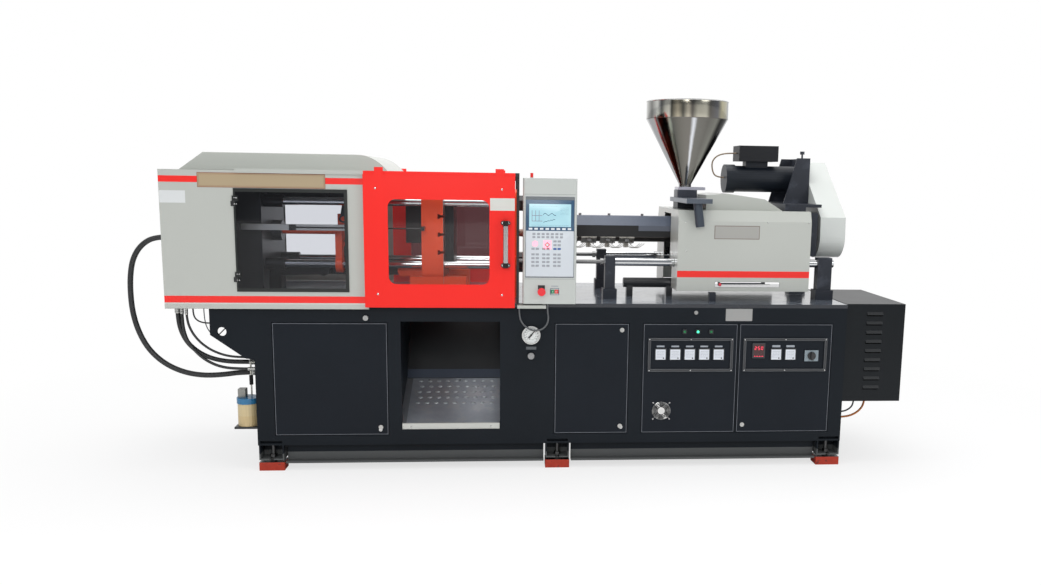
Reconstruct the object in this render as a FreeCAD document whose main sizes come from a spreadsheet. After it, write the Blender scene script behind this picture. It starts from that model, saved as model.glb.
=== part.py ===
"""Horizontal injection moulding machine with a toggle clamp, in millimetres.

X runs from the clamp end (left) to the drive end (right), Y away from the operator, Z up.
The origin is under the middle of the machine, on the floor that the levelling pads stand on.
"""
import FreeCAD, Part
import Sketcher
import math
import os
from types import SimpleNamespace

doc = FreeCAD.newDocument("InjectionMouldingMachine")
sheet = doc.addObject("Spreadsheet::Sheet", "Sizes")
Vector = FreeCAD.Vector
Rotation = FreeCAD.Rotation


# ---------------------------------------------------------------- sizes and formulas
class Size:
    """A length, as its value in millimetres and the sheet formula that gives it."""

    def __init__(self, value, text):
        self.value = float(value)
        self.text = text

    def __add__(self, other):
        other = as_size(other)
        return Size(self.value + other.value, f"({self.text} + {other.text})")

    def __sub__(self, other):
        other = as_size(other)
        return Size(self.value - other.value, f"({self.text} - {other.text})")

    def __mul__(self, factor):
        factor = as_size(factor)
        return Size(self.value * factor.value, f"({self.text} * {factor.text})")

    def __truediv__(self, divisor):
        divisor = as_size(divisor)
        return Size(self.value / divisor.value, f"({self.text} / {divisor.text})")

    def __radd__(self, other):
        return as_size(other) + self

    def __rsub__(self, other):
        return as_size(other) - self

    def __rmul__(self, other):
        return as_size(other) * self

    def __neg__(self):
        return Size(-self.value, f"(0 - {self.text})")


def as_size(number):
    """A plain number as a size, so that both can stand in one formula."""
    if isinstance(number, Size):
        return number
    return Size(number, f"({float(number)})")


def bind(thing, prop, size):
    """Ties a property to its formula."""
    thing.setExpression(prop, as_size(size).text)


SIZES = dict(
    # overall
    machine_length=4500,
    bed_width=1100,
    bed_start=500,  # clamp cover's left end to the bed's left end
    side_cabinet_length=385,
    bed_underside=170,
    bed_height=840,
    table_thickness=23,
    wall=12,
    front_wall=30,
    # clearances
    seat_gap=0.3,
    running_gap=0.05,
    door_gap=3,
    # base channels and feet
    channel_low=45,
    channel_depth=60,
    channel_flange=12,
    channel_web=10,
    bracket_width=146,
    bracket_low=66,
    bracket_high=186,
    bracket_plate=8,
    foot_pad_height=52,
    foot_pad_length=150,
    foot_pad_depth=100,
    foot_bolt_radius=12,
    foot_bolt_top=150,
    # lifting gussets
    gusset_length=250,
    gusset_plate=15,
    gusset_step=154,
    gusset_slope=140,
    lifting_hole_radius=27,
    # bed bays and doors
    chute_left=-890,
    chute_width=595,
    chute_sill=251,
    chute_head=920,
    services_bulkhead=-275,
    cabinet_bulkhead=550,
    left_door_start=-1643,
    left_door_width=673,
    middle_door_start=40,
    middle_door_width=453,
    cabinet_door_start=583,
    cabinet_door_width=590,
    cabinet_doors_gap=13,
    door_low=220,
    door_height=690,
    door_thickness=14,
    door_rebate=18,
    door_pin_inset=8,
    door_pin_radius=4,
    door_pin_length=10,
    drop_hole_length=515,
    drop_hole_half_width=170,
    # chute
    chute_sheet=5,
    chute_rear=-100,
    chute_front_height=285,
    chute_rear_height=470,
    # side cabinet
    side_cabinet_front=525,
    side_cabinet_depth=750,
    side_cabinet_low=410,
    side_cabinet_height=625,
    sheet_wall=4,
    louvre_start=2003,
    louvre_width=103,
    louvre_low=486,
    louvre_pitch=59,
    louvre_opening=8,
    louvre_hood=9,
    # platens
    clamp_axis=1425,
    platen_width=560,
    platen_corner=40,
    platen_foot=130,
    tie_bar_radius=25,
    tie_bar_pitch=390,
    tie_bar_end=60,
    tie_nut_radius=44,
    tie_nut_length=64,
    tie_collar_radius=40,
    tie_collar_length=115,
    mould_face=-340,
    stationary_thickness=160,
    mould_space=310,
    moving_thickness=135,
    rear_platen_face=-1750,
    rear_platen_thickness=180,
    locating_radius=50,
    locating_depth=25,
    tee_pitch=112,
    tee_neck=16,
    tee_head=28,
    tee_head_depth=14,
    tee_depth=36,
    shoe_left=-860,
    shoe_length=350,
    shoe_width=60,
    shoe_centre=245,
    shoe_height=112,
    way_height=15,
    way_left=-1250,
    way_length=850,
    # toggle
    toggle_offset=240,
    rear_pin_x=-1420,
    rear_link_length=200,
    front_link_length=310,
    drive_pin_along=140,
    drive_pin_inward=45,
    crosshead_pin_x=-1300,
    crosshead_pin_height=80,
    link_round=38,
    drive_round=26,
    lug_round=40,
    toggle_pin_radius=22,
    small_pin_radius=15,
    inner_lug=28,
    small_link=34,
    rear_link=60,
    front_link=92,
    link_plate=30,
    small_link_plate=24,
    moving_lug=62,
    moving_lug_plate=28,
    outer_lug=124,
    crosshead_length=80,
    crosshead_half_width=30,
    crosshead_half_height=110,
    yoke_thickness=40,
    yoke_half_height=40,
    yoke_half_width=235,
    yoke_leg=70,
    yoke_boss_radius=55,
    # clamp cylinder
    ram_radius=65,
    ram_bore=50,
    ram_rod=22.5,
    ram_front=-1690,
    ram_length=510,
    ram_cap=30,
    ram_flange_radius=95,
    ram_flange=20,
    piston_length=50,
    ram_rod_length=450,
    # ejector
    ejector_length=120,
    ejector_half_width=80,
    ejector_low=70,
    ejector_high=175,
    ejector_rod_radius=15,
    ejector_rod_length=240,
    # stroke transducer
    transducer_left=-1880,
    transducer_length=730,
    transducer_height=36,
    transducer_depth=30,
    transducer_front=-345,
    transducer_low=1446,
    cursor_x=-1550,
    cursor_length=40,
    cursor_thickness=12,
    # covers and guards of the clamp
    cover_length=1182,
    gland_length=14,
    cover_overhang=35,  # past the bed's side
    cover_low=998,
    cover_height=800,
    clamp_window_left=-1812,
    clamp_window_width=619,
    clamp_window_low=1114,
    clamp_window_height=571,
    clamp_window_lap=14,
    pane=5,
    hinge_radius=6,
    hinge_pin_radius=3,
    hinge_height=60,
    roof_length=1330,
    hump_half_width=420,
    hump_height=103,
    hump_left=60,
    hump_slope=140,
    hump_right_slope=120,
    hump_length=1080,
    door_standoff=16,  # from the clamp cover's side
    door_left=-1085,
    door_right=-207,
    door_bottom=1014,
    door_top=1790,
    door_sheet=3,
    door_window_left=-945,
    door_window_width=588,
    door_window_low=1153,
    door_window_height=496,
    door_window_corner=45,
    door_return=17,
    handle_x=-262,
    handle_low=1270,
    handle_height=250,
    handle_reach=55,
    handle_radius=15,
    handle_foot_height=26,
    guard_post_x=-198,
    guard_post_width=16,
    guard_beam_low=1765,
    guard_beam_height=28,
    guard_beam_depth=28,
    door_rail_height=24,
    door_travel=700,
    # operator panel
    panel_width=320,
    panel_height=746,
    panel_depth=110,
    panel_standoff=15,  # from the clamp cover's side
    panel_low=1037,
    panel_pivot_x=-110,
    panel_pivot_inset=5,  # from the bed's side
    panel_pivot_radius=14,
    panel_corner=12,
    panel_recess=3,
    panel_recess_low=1195,
    panel_recess_height=482,
    panel_rim=14,
    stop_x=-48,
    rocker_x=31,
    button_row=1112,
    stop_radius=24,
    stop_stem=11,
    stop_height=30,
    rocker_width=44,
    rocker_height=22,
    rocker_depth=16,
    # gauge on the bed front
    gauge_x=-107,
    gauge_z=842,
    gauge_radius=56,
    gauge_depth=26,
    gauge_standoff=4,
    gauge_rim=6,
    valve_z=715,
    valve_knob_radius=20,
    # cabinet instruments
    left_frame_x=615,
    right_frame_x=1213,
    frame_width=530,
    frame_low=613,
    frame_height=208,
    frame_bar=14,
    frame_thickness=9,
    instrument_side=72,
    instrument_bezel=8,
    instrument_body=66,
    instrument_depth=60,
    instrument_z=721,
    first_controller_x=692,
    controller_pitch=91,
    meter_x=1309,
    meter_z=743,
    meter_height=96,
    right_controller_x=1421,
    isolator_x=1647,
    isolator_z=711,
    isolator_width=88,
    isolator_height=70,
    isolator_knob_radius=26,
    lamp_x=838,
    lamp_pitch=83,
    lamp_z=862,
    lamp_radius=11,
    fan_x=706,
    fan_z=362,
    fan_side=120,
    fan_depth=38,
    fan_bore=56,
    fan_hub=20,
    fan_blade=52,
    # injection unit
    rod_spacing=560,
    rod_z=1265,
    rod_radius=25.5,
    rod_left=360,
    rod_right=1850,
    rod_nose_radius=13,
    pedestal_left=357,
    pedestal_width=70,
    pedestal_depth=70,
    pedestal_foot_height=63,
    pedestal_foot_lap=12,
    rear_pedestal_left=1742,
    rear_pedestal_width=92,
    carriage_left=870,
    carriage_length=220,
    carriage_half_width=130,
    carriage_top=1590,
    beam_half_width=330,
    beam_low=1215,
    beam_high=1315,
    barrel_radius=50,
    barrel_bore=22.5,
    barrel_left=-60,
    barrel_length=1020,
    nozzle_length=240,
    nozzle_tip=12,
    nozzle_base=34,
    band_radius=62,
    band_length=100,
    band_pitch=125,
    barrel_guard_left=60,
    barrel_guard_top=1546,
    barrel_guard_shoulder=1487,
    barrel_guard_low=1413,
    barrel_guard_half_top=45,
    barrel_guard_half_width=100,
    guard_sheet=3,
    inject_cylinder_y=200,
    inject_cylinder_radius=45,
    inject_rod_radius=20,
    inject_cylinder_length=260,
    housing_beam_left=1370,
    housing_beam_length=70,
    housing_length=340,
    housing_half_width=150,
    housing_low=1300,
    housing_top=1585,
    shaft_radius=25,
    screw_radius=22,
    cover_left=808,
    inj_cover_length=849,
    inj_cover_front=400,
    inj_cover_low=1095,
    inj_cover_bend=1534,
    inj_cover_top=1600,
    inj_cover_lean=28,
    lid_left=1003,
    lid_flat=480,
    lid_height=98,
    lid_half=280,
    scale_left=1051,
    scale_length=415,
    scale_low=1122,
    scale_height=32,
    # hopper
    hopper_x=916,
    hopper_radius=266,
    hopper_rim_low=2176,
    hopper_rim_height=114,
    hopper_neck_radius=41,
    hopper_neck_z=1758,
    hopper_sheet=2.5,
    throat_radius=25,
    slide_plate_low=1645,
    slide_plate_thickness=28,
    slide_plate_half_width=80,
    slide_plate_front=500,
    slide_plate_rear=95,
    slide_block_half=70,
    slide_block_height=68,
    slide_flange_height=20,
    drain_y=432,
    drain_radius=25,
    drain_length=140,
    # motor and drive
    motor_y=320,
    motor_z=1800,
    motor_radius=90,
    motor_left=1320,
    motor_right=1770,
    motor_cap_length=70,
    motor_cap_half=98,
    motor_shaft=19,
    terminal_left=1332,
    terminal_length=275,
    terminal_half=90,
    terminal_low=1920,
    terminal_height=106,
    bracket_left=1785,
    bracket_thickness=20,
    bracket_top=1945,
    bracket_base=1620,
    guard_left=1820,
    guard_thickness=155,
    guard_round=142,
    guard_fold=1556,
    guard_top=1922,
    guard_front_top=335,
    guard_rear_top=450,
    guard_rear=500,
    pulley_width=70,
    screw_pulley_radius=105,
    motor_pulley_radius=45,
    belt_thickness=6,
    # carriage cylinder
    pull_y=-150,
    pull_z=1120,
    pull_radius=32,
    pull_rod=12,
    pull_left=500,
    pull_length=340,
)

d = SimpleNamespace()
for row, (word, number) in enumerate(SIZES.items(), start=1):
    sheet.set(f"A{row}", word)
    sheet.set(f"B{row}", str(number))
    sheet.setAlias(f"B{row}", word)
    setattr(d, word, Size(number, f"Sizes.{word}"))
doc.recompute()

# ---------------------------------------------------------------- derived planes
bed_left = d.bed_start - d.machine_length / 2
bed_right = d.machine_length / 2 - d.side_cabinet_length
bed_half = d.bed_width / 2
bed_front = -bed_half
cover_half = bed_half + d.cover_overhang
door_plane = cover_half + d.door_standoff
panel_front = cover_half + d.panel_standoff
panel_pivot_y = bed_half - d.panel_pivot_inset
bed_top = d.bed_underside + d.bed_height
table_top_z = bed_top + d.table_thickness
machine_left = -d.machine_length / 2
machine_right = d.machine_length / 2
tie_offset = d.tie_bar_pitch / 2
platen_half = d.platen_width / 2
rod_y = d.rod_spacing / 2
moving_face = d.mould_face - d.mould_space
moving_back = moving_face - d.moving_thickness
front_pin_x = d.rear_pin_x + d.rear_link_length + d.front_link_length


# ---------------------------------------------------------------- building blocks
def block(x, y, z):
    """A rectangular block between two planes on each axis."""
    thing = doc.addObject("Part::Box", "Block")
    for side, at, (low, high) in (("Length", "x", x), ("Width", "y", y), ("Height", "z", z)):
        bind(thing, side, as_size(high) - low)
        bind(thing, f"Placement.Base.{at}", low)
    return thing


AXIS_TURN = {
    "x": Rotation(Vector(0, 1, 0), 90),
    "y": Rotation(Vector(1, 0, 0), -90),
    "z": Rotation(),
}


def place_along(thing, axis, centre, low):
    """Stands a round primitive on its axis; centre is the pair of the other two coordinates."""
    thing.Placement = FreeCAD.Placement(Vector(), AXIS_TURN[axis])
    spot = dict(zip([a for a in "xyz" if a != axis], centre))
    spot[axis] = low
    for at in "xyz":
        bind(thing, f"Placement.Base.{at}", spot[at])
    return thing


def rod(axis, centre, radius, span):
    """A round bar along an axis."""
    thing = doc.addObject("Part::Cylinder", "Rod")
    bind(thing, "Radius", radius)
    bind(thing, "Height", as_size(span[1]) - span[0])
    return place_along(thing, axis, centre, span[0])


def drum(axis, centre, radius, span, sides=16):
    """A many-sided bar along an axis, for rounds that nothing turns on; the radius is to its corners."""
    thing = doc.addObject("Part::Prism", "Drum")
    thing.Polygon = sides
    bind(thing, "Circumradius", radius)
    bind(thing, "Height", as_size(span[1]) - span[0])
    return place_along(thing, axis, centre, span[0])


def hexagon(axis, centre, radius, span):
    """A six-sided nut or fitting along an axis."""
    return drum(axis, centre, radius, span, 6)


def around(radius, sides=16):
    """The corner radius of a many-sided hole whose flats just clear a round bar."""
    return as_size(radius) / math.cos(math.pi / sides)


def funnel(axis, centre, radii, span, sides):
    """A many-sided cone between two corner radii, with flat faces, which no primitive gives."""
    rings = []
    for radius, level in zip(radii, span):
        radius, low = as_size(radius).value, as_size(level).value - as_size(span[0]).value
        turns = [2 * math.pi * step / sides for step in range(sides)]
        rings.append([Vector(radius * math.cos(t), radius * math.sin(t), low) for t in turns])
    low, high = rings
    walls = []
    for step in range(sides):
        after = (step + 1) % sides
        walls.append([low[step], low[after], high[after], high[step]])
    faces = [Part.Face(Part.makePolygon(ring + ring[:1])) for ring in [low, high, *walls]]
    thing = doc.addObject("Part::Feature", "Funnel")
    thing.Shape = Part.makeSolid(Part.makeShell(faces))
    return place_along(thing, axis, centre, span[0])


def fuse(*parts):
    """Several shapes made one."""
    if len(parts) == 1:
        return parts[0]
    thing = doc.addObject("Part::MultiFuse", "Joined")
    thing.Shapes = list(parts)
    thing.Refine = True
    return thing


def cut(base, *tools):
    """A shape with others taken out of it."""
    thing = doc.addObject("Part::Cut", "Cut")
    thing.Base = base
    thing.Tool = fuse(*tools)
    thing.Refine = True
    return thing


def group(*parts):
    """Separate solids that make up one named piece."""
    thing = doc.addObject("Part::Compound", "Group")
    thing.Links = list(parts)
    return thing


def mirrored(part):
    """The same shape on the other side of the machine's middle plane."""
    thing = doc.addObject("Part::Mirroring", "Mirrored")
    thing.Source = part
    thing.Normal = Vector(0, 1, 0)
    return thing


PLANES = {"xy": ("XY_Plane", 1, "z"), "xz": ("XZ_Plane", -1, "y"), "yz": ("YZ_Plane", 1, "x")}


def sketch_in(body, plane, level, points, holes=()):
    """A closed outline of straight lines, with round holes, on a plane of the body."""
    role, sign, _ = PLANES[plane]
    sketch = body.newObject("Sketcher::SketchObject", "Outline")
    base = next(f for f in body.Origin.OriginFeatures if f.Role == role)
    sketch.AttachmentSupport = [(base, "")]
    sketch.MapMode = "FlatFace"
    bind(sketch, "AttachmentOffset.Base.z", as_size(level) * sign)
    spots = [(as_size(u), as_size(v)) for u, v in points]
    for (u, v), (nu, nv) in zip(spots, spots[1:] + spots[:1]):
        line = Part.LineSegment(Vector(u.value, v.value, 0), Vector(nu.value, nv.value, 0))
        sketch.addGeometry(line, False)
    for i in range(len(spots)):
        sketch.addConstraint(Sketcher.Constraint("Coincident", i, 2, (i + 1) % len(spots), 1))
    for i, spot in enumerate(spots):
        fix_point(sketch, i, 1, spot)
    for u, v, radius in holes:
        u, v, radius = as_size(u), as_size(v), as_size(radius)
        circle = Part.Circle(Vector(u.value, v.value, 0), Vector(0, 0, 1), radius.value)
        hole = sketch.addGeometry(circle, False)
        fix_point(sketch, hole, 3, (u, v))
        row = sketch.addConstraint(Sketcher.Constraint("Radius", hole, radius.value))
        bind(sketch, f"Constraints[{row}]", radius)
    return sketch


def fix_point(sketch, geometry, vertex, spot):
    """Places one sketch point by its two formulas."""
    for kind, size in zip(("DistanceX", "DistanceY"), spot):
        row = sketch.addConstraint(Sketcher.Constraint(kind, -1, 1, geometry, vertex, size.value))
        bind(sketch, f"Constraints[{row}]", size)


def prism(plane, points, span, holes=(), rounded=None, corners=None):
    """An outline pushed between two planes; some of its corners can be rounded."""
    body = doc.addObject("PartDesign::Body", "Prism")
    _, sign, along = PLANES[plane]
    start = span[0] if sign > 0 else span[1]
    sketch = sketch_in(body, plane, start, points, holes)
    pad = body.newObject("PartDesign::Pad", "Pad")
    pad.Profile = sketch
    bind(pad, "Length", as_size(span[1]) - span[0])
    if rounded is None:
        return body
    doc.recompute()
    picked = corner_edges(pad, plane, points, corners)
    fillet = body.newObject("PartDesign::Fillet", "Fillet")
    fillet.Base = (pad, picked)
    bind(fillet, "Radius", rounded)
    body.Tip = fillet
    return body


def corner_edges(pad, plane, points, corners):
    """The edges of a prism that stand on the chosen corners of its outline."""
    chosen = range(len(points)) if corners is None else corners
    wanted = [tuple(as_size(s).value for s in points[i]) for i in chosen]
    names = []
    for number, edge in enumerate(pad.Shape.Edges, start=1):
        first, last = (vertex.Point for vertex in (edge.Vertexes[0], edge.Vertexes[-1]))
        flat = [(getattr(p, plane[0]), getattr(p, plane[1])) for p in (first, last)]
        if math.dist(*flat) > 0.01 or (first - last).Length < 0.01:
            continue
        if any(math.dist(flat[0], spot) < 0.01 for spot in wanted):
            names.append(f"Edge{number}")
    return names


PIECES = []


def piece(label, thing):
    """Names a finished piece; the name is also its file's."""
    thing.Label = label
    PIECES.append(thing)
    return thing


def eight_sided(centre, along, diameter):
    """A regular octagon across a cord, two of its flats square to Y."""
    across = Vector(0, 1, 0)
    upward = along.cross(across).normalize()
    radius = diameter / 2 / math.cos(math.pi / 8)
    ring = []
    for step in range(8):
        angle = math.pi * (step + 0.5) / 4
        ring.append(centre + across * (radius * math.cos(angle)) + upward * (radius * math.sin(angle)))
    return Part.makePolygon(ring + ring[:1])


def cord(points, diameter):
    """A hose or cable along straight runs joined by tangent arcs, each as large as its runs allow."""
    spots = [Vector(*p) for p in points]
    edges = []
    start = spots[0]
    radii = []
    for before, corner, after in zip(spots, spots[1:], spots[2:]):
        into, out = corner - before, after - corner
        half_turn = into.getAngle(out) / 2
        reach = 0.45 * min(into.Length, out.Length)
        radii.append(reach / math.tan(half_turn))
        into.normalize()
        out.normalize()
        enter, leave = corner - into * reach, corner + out * reach
        inward = (out - into).normalize()
        middle = corner + inward * (radii[-1] / math.cos(half_turn) - radii[-1])
        edges += [Part.LineSegment(start, enter).toShape(), Part.Arc(enter, middle, leave).toShape()]
        start = leave
    edges.append(Part.LineSegment(start, spots[-1]).toShape())
    path = Part.Wire(edges)
    section = eight_sided(spots[0], spots[1] - spots[0], diameter)
    shape = path.makePipeShell([section], True, False)
    expected = Part.Face(section).Area * path.Length
    print(
        f"cord d={diameter} length={path.Length:.0f} radii "
        f"{min(radii):.0f}..{max(radii):.0f} volume/expected={shape.Volume / expected:.4f}"
    )
    return shape


def cord_piece(label, shapes):
    """One node of cords."""
    thing = doc.addObject("Part::Feature", "Cords")
    thing.Shape = shapes[0] if len(shapes) == 1 else Part.makeCompound(shapes)
    return piece(label, thing)


# ---------------------------------------------------------------- doors in the bed front
DOORS = {
    "left_door": (d.left_door_start, d.left_door_width, "left"),
    "middle_door": (d.middle_door_start, d.middle_door_width, "left"),
    "cabinet_door_left": (d.cabinet_door_start, d.cabinet_door_width, "left"),
    "cabinet_door_right": (
        d.cabinet_door_start + d.cabinet_door_width + d.cabinet_doors_gap,
        d.cabinet_door_width,
        "right",
    ),
}
door_top = d.door_low + d.door_height
door_pin_y = bed_front + d.door_thickness / 2


def door_pin_x(start, width, hinge):
    """Where a door's pins stand."""
    if hinge == "left":
        return start + d.door_pin_inset
    return start + width - d.door_pin_inset


def door_recess(start, width, hinge):
    """What a door takes out of the bed front: opening, rebate and the two pin holes."""
    lap = 15
    opening = block(
        (start + lap, start + width - lap),
        (bed_front - 1, bed_front + d.front_wall + 1),
        (d.door_low + lap, door_top - lap),
    )
    rebate = block(
        (start - d.door_gap, start + width + d.door_gap),
        (bed_front - 1, bed_front + d.door_rebate),
        (d.door_low - d.door_gap, door_top + d.door_gap),
    )
    holes = rod(
        "z",
        (door_pin_x(start, width, hinge), door_pin_y),
        d.door_pin_radius + d.running_gap,
        (d.door_low - d.door_pin_length - 1, door_top + d.door_pin_length + 1),
    )
    return [opening, rebate, holes]


def lock(x, z):
    """A quarter-turn lock head on a door."""
    return drum("y", (x, z), 14, (bed_front - 5, bed_front))


def door_leaf(start, width, hinge, locks, openings=()):
    """A flat door with its two pins and lock heads."""
    leaf = block((start, start + width), (bed_front, bed_front + d.door_thickness), (d.door_low, door_top))
    if openings:
        leaf = cut(leaf, *openings)
    spot = (door_pin_x(start, width, hinge), door_pin_y)
    low_pin = rod("z", spot, d.door_pin_radius, (d.door_low - d.door_pin_length, d.door_low))
    high_pin = rod("z", spot, d.door_pin_radius, (door_top, door_top + d.door_pin_length))
    return fuse(leaf, low_pin, high_pin, *[lock(x, z) for x, z in locks])


# ---------------------------------------------------------------- bed frame
foot_stations = (bed_left + 78, as_size(61), bed_right - 75)
chute_right = d.chute_left + d.chute_width
chute_bay = (d.chute_left - 15, chute_right + 15)
bay_y = (bed_front + d.front_wall, bed_half - d.wall)
bay_z = (d.bed_underside + d.wall, bed_top - d.wall)
bays = [
    block((bed_left + d.wall, chute_bay[0] - 20), bay_y, bay_z),
    block(chute_bay, bay_y, bay_z),
    block((d.services_bulkhead + 7, d.cabinet_bulkhead - 10), bay_y, bay_z),
    block((d.cabinet_bulkhead + 10, bed_right - d.wall), bay_y, bay_z),
]
chute_opening = block(
    (d.chute_left, chute_right),
    (bed_front - 1, bed_front + d.front_wall + 1),
    (d.chute_sill, d.chute_head),
)
drop_x = (d.mould_face - d.drop_hole_length - 5, d.mould_face - 5)
drop_hole = block(
    drop_x,
    (-d.drop_hole_half_width, d.drop_hole_half_width),
    (bed_top - d.wall - 1, table_top_z + 1),
)
pockets = [
    block(
        (x - d.bracket_width / 2 + d.bracket_plate, x + d.bracket_width / 2 - d.bracket_plate),
        (bed_front - 1, bed_front + 22),
        (d.bed_underside - 1, d.bracket_high),
    )
    for x in foot_stations
]
recesses = [shape for door in DOORS.values() for shape in door_recess(*door)]
bed_shell = cut(
    block((bed_left, bed_right), (bed_front, bed_half), (d.bed_underside, bed_top)),
    *bays,
    chute_opening,
    drop_hole,
    *pockets,
    *recesses,
)


def gusset():
    """One lifting plate at the clamp end of the bed."""
    far = bed_left - d.gusset_length
    outline = [
        (bed_left, bed_top),
        (far, bed_top),
        (far, bed_top - d.gusset_step - 20),
        (bed_left - 54, bed_top - d.gusset_step - 20 - d.gusset_slope),
        (bed_left, bed_top - d.gusset_step - 30 - d.gusset_slope),
    ]
    hole = (far + 68, bed_top - d.gusset_step)
    plate_y = (bed_front, bed_front + d.gusset_plate)
    hole_y = (bed_front - 1, plate_y[1] + 1)
    return cut(prism("xz", outline, plate_y), drum("y", hole, d.lifting_hole_radius, hole_y))


def base_channel():
    """The channel under the front edge, open to the front between the foot brackets."""
    web = bed_front + d.channel_depth - 15
    outline = [
        (bed_front, d.bed_underside),
        (bed_front, d.bed_underside - d.channel_flange),
        (web, d.bed_underside - d.channel_flange),
        (web, d.channel_low + d.channel_flange),
        (bed_front, d.channel_low + d.channel_flange),
        (bed_front, d.channel_low),
        (web + d.channel_web, d.channel_low),
        (web + d.channel_web, d.bed_underside),
    ]
    rail = prism("yz", outline, (bed_left, bed_right))
    rooms = [
        block(
            (x - d.bracket_width / 2 - 12, x + d.bracket_width / 2 + 12),
            (bed_front - 1, web + d.channel_web + 1),
            (d.channel_low - 1, d.bed_underside - d.channel_flange),
        )
        for x in foot_stations
    ]
    return cut(rail, *rooms)


def foot_bracket(x):
    """A box bracket under the bed with the hole for its levelling bolt."""
    left, right = x - d.bracket_width / 2, x + d.bracket_width / 2
    rear = bed_front + d.foot_pad_depth
    outer = block((left, right), (bed_front, rear), (d.bracket_low, d.bed_underside))
    inner = block(
        (left + d.bracket_plate, right - d.bracket_plate),
        (bed_front - 1, rear - d.bracket_plate),
        (d.bracket_low + d.bracket_plate, d.bed_underside + 1),
    )
    slot = block(
        (x - d.foot_bolt_radius - 1, x + d.foot_bolt_radius + 1),
        (bed_front - 1, foot_y + d.foot_bolt_radius + 1),
        (d.bracket_low - 1, d.bracket_low + d.bracket_plate + 1),
    )
    return cut(outer, inner, slot)


foot_y = bed_front + d.foot_pad_depth / 2
one_side = [gusset(), base_channel(), *[foot_bracket(x) for x in foot_stations]]

HOSE_SOCKETS = {
    # y, height and radius of each socket on the bed's clamp end
    "return": (-360, 572, 24),
    "pressure": (-410, 646, 21),
    "pilot": (-450, 611, 14),
    "drain": (-490, 690, 12),
    "signal": (-520, 905, 9),
    "earth": (-505, 780, 8),
}
socket_left = bed_left - 18
sockets = [hexagon("x", (y, z), r, (socket_left, bed_left)) for y, z, r in HOSE_SOCKETS.values()]
drive_end_sockets = [
    hexagon("x", (-350, 259), 12, (bed_right, bed_right + 15)),
    hexagon("x", (-420, 314), 10, (bed_right, bed_right + 15)),
]
front_fittings = [
    drum("y", (906, 981), 12, (bed_front - 8, bed_front)),
    drum("y", (-1092, 943), 16, (bed_front - 22, bed_front)),
]
bed_solid = fuse(
    bed_shell,
    *one_side,
    *[mirrored(part) for part in one_side],
    *sockets,
    *drive_end_sockets,
    *front_fittings,
)
blank_plate = block((1093, 1260), (bed_front - 1.5, bed_front), (929, 1005))
piece("bed_frame", group(bed_solid, blank_plate))


def levelling_foot(x):
    """Pad, bolt and the two nuts that hold the bracket between them."""
    half = d.foot_pad_length / 2
    pad = block((x - half, x + half), (bed_front, bed_front + d.foot_pad_depth), (0, d.foot_pad_height))
    bolt = drum("z", (x, foot_y), d.foot_bolt_radius, (d.foot_pad_height, d.foot_bolt_top))
    low_nut = hexagon("z", (x, foot_y), 21, (d.foot_pad_height, d.bracket_low))
    plate_top = d.bracket_low + d.bracket_plate
    high_nut = hexagon("z", (x, foot_y), 21, (plate_top, plate_top + 18))
    return fuse(pad, bolt, low_nut, high_nut)


feet = [levelling_foot(x) for x in foot_stations]
piece("levelling_feet", group(*feet, *[mirrored(foot) for foot in feet]))


# ---------------------------------------------------------------- table top with the platen ways
def on_both_sides(x, y, z):
    """Two equal blocks, one on each side of the middle plane."""
    near = block(x, (-as_size(y[1]), -as_size(y[0])), z)
    far = block(x, y, z)
    return [near, far]


way_top = table_top_z + d.way_height
way_y = (d.shoe_centre - d.shoe_width / 2 - 12, d.shoe_centre + d.shoe_width / 2 + 12)
table = cut(
    block((bed_left - d.gusset_length, bed_right), (bed_front, bed_half), (bed_top, table_top_z)),
    block(drop_x, (-d.drop_hole_half_width, d.drop_hole_half_width), (bed_top - 1, table_top_z + 1)),
)
ways = on_both_sides((d.way_left, d.way_left + d.way_length), way_y, (table_top_z, way_top))
piece("table_top", fuse(table, *ways))

# ---------------------------------------------------------------- chute under the mould space
chute_slope = (d.chute_rear_height - d.chute_front_height) / (d.chute_rear - bed_front)
lip_y = bed_front + 5


def chute_height(y):
    """Height of the chute's upper face at y."""
    return d.chute_front_height + (as_size(y) - bed_front) * chute_slope


inside_y = bed_front + d.front_wall
back_y, back_z = d.drop_hole_half_width + 20, bed_top - 70
chute_outline = [
    (inside_y, chute_height(inside_y)),
    (d.chute_rear, d.chute_rear_height),
    (back_y, back_z),
    (back_y, back_z - 2 * d.chute_sheet),
    (d.chute_rear + d.chute_sheet, d.chute_rear_height - d.chute_sheet),
    (inside_y, chute_height(inside_y) - d.chute_sheet),
]
lip_outline = [
    (lip_y, chute_height(lip_y)),
    (inside_y, chute_height(inside_y)),
    (inside_y, chute_height(inside_y) - d.chute_sheet),
    (lip_y, chute_height(lip_y) - d.chute_sheet),
]
chute = fuse(
    prism("yz", chute_outline, chute_bay),
    prism("yz", lip_outline, (d.chute_left + 2, chute_right - 2)),
    block(
        (d.chute_left + 2, chute_right - 2),
        (lip_y, lip_y + d.chute_sheet),
        (d.chute_sill + 1, chute_height(lip_y) - 1),
    ),
)
piece("chute_plate", chute)

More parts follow.
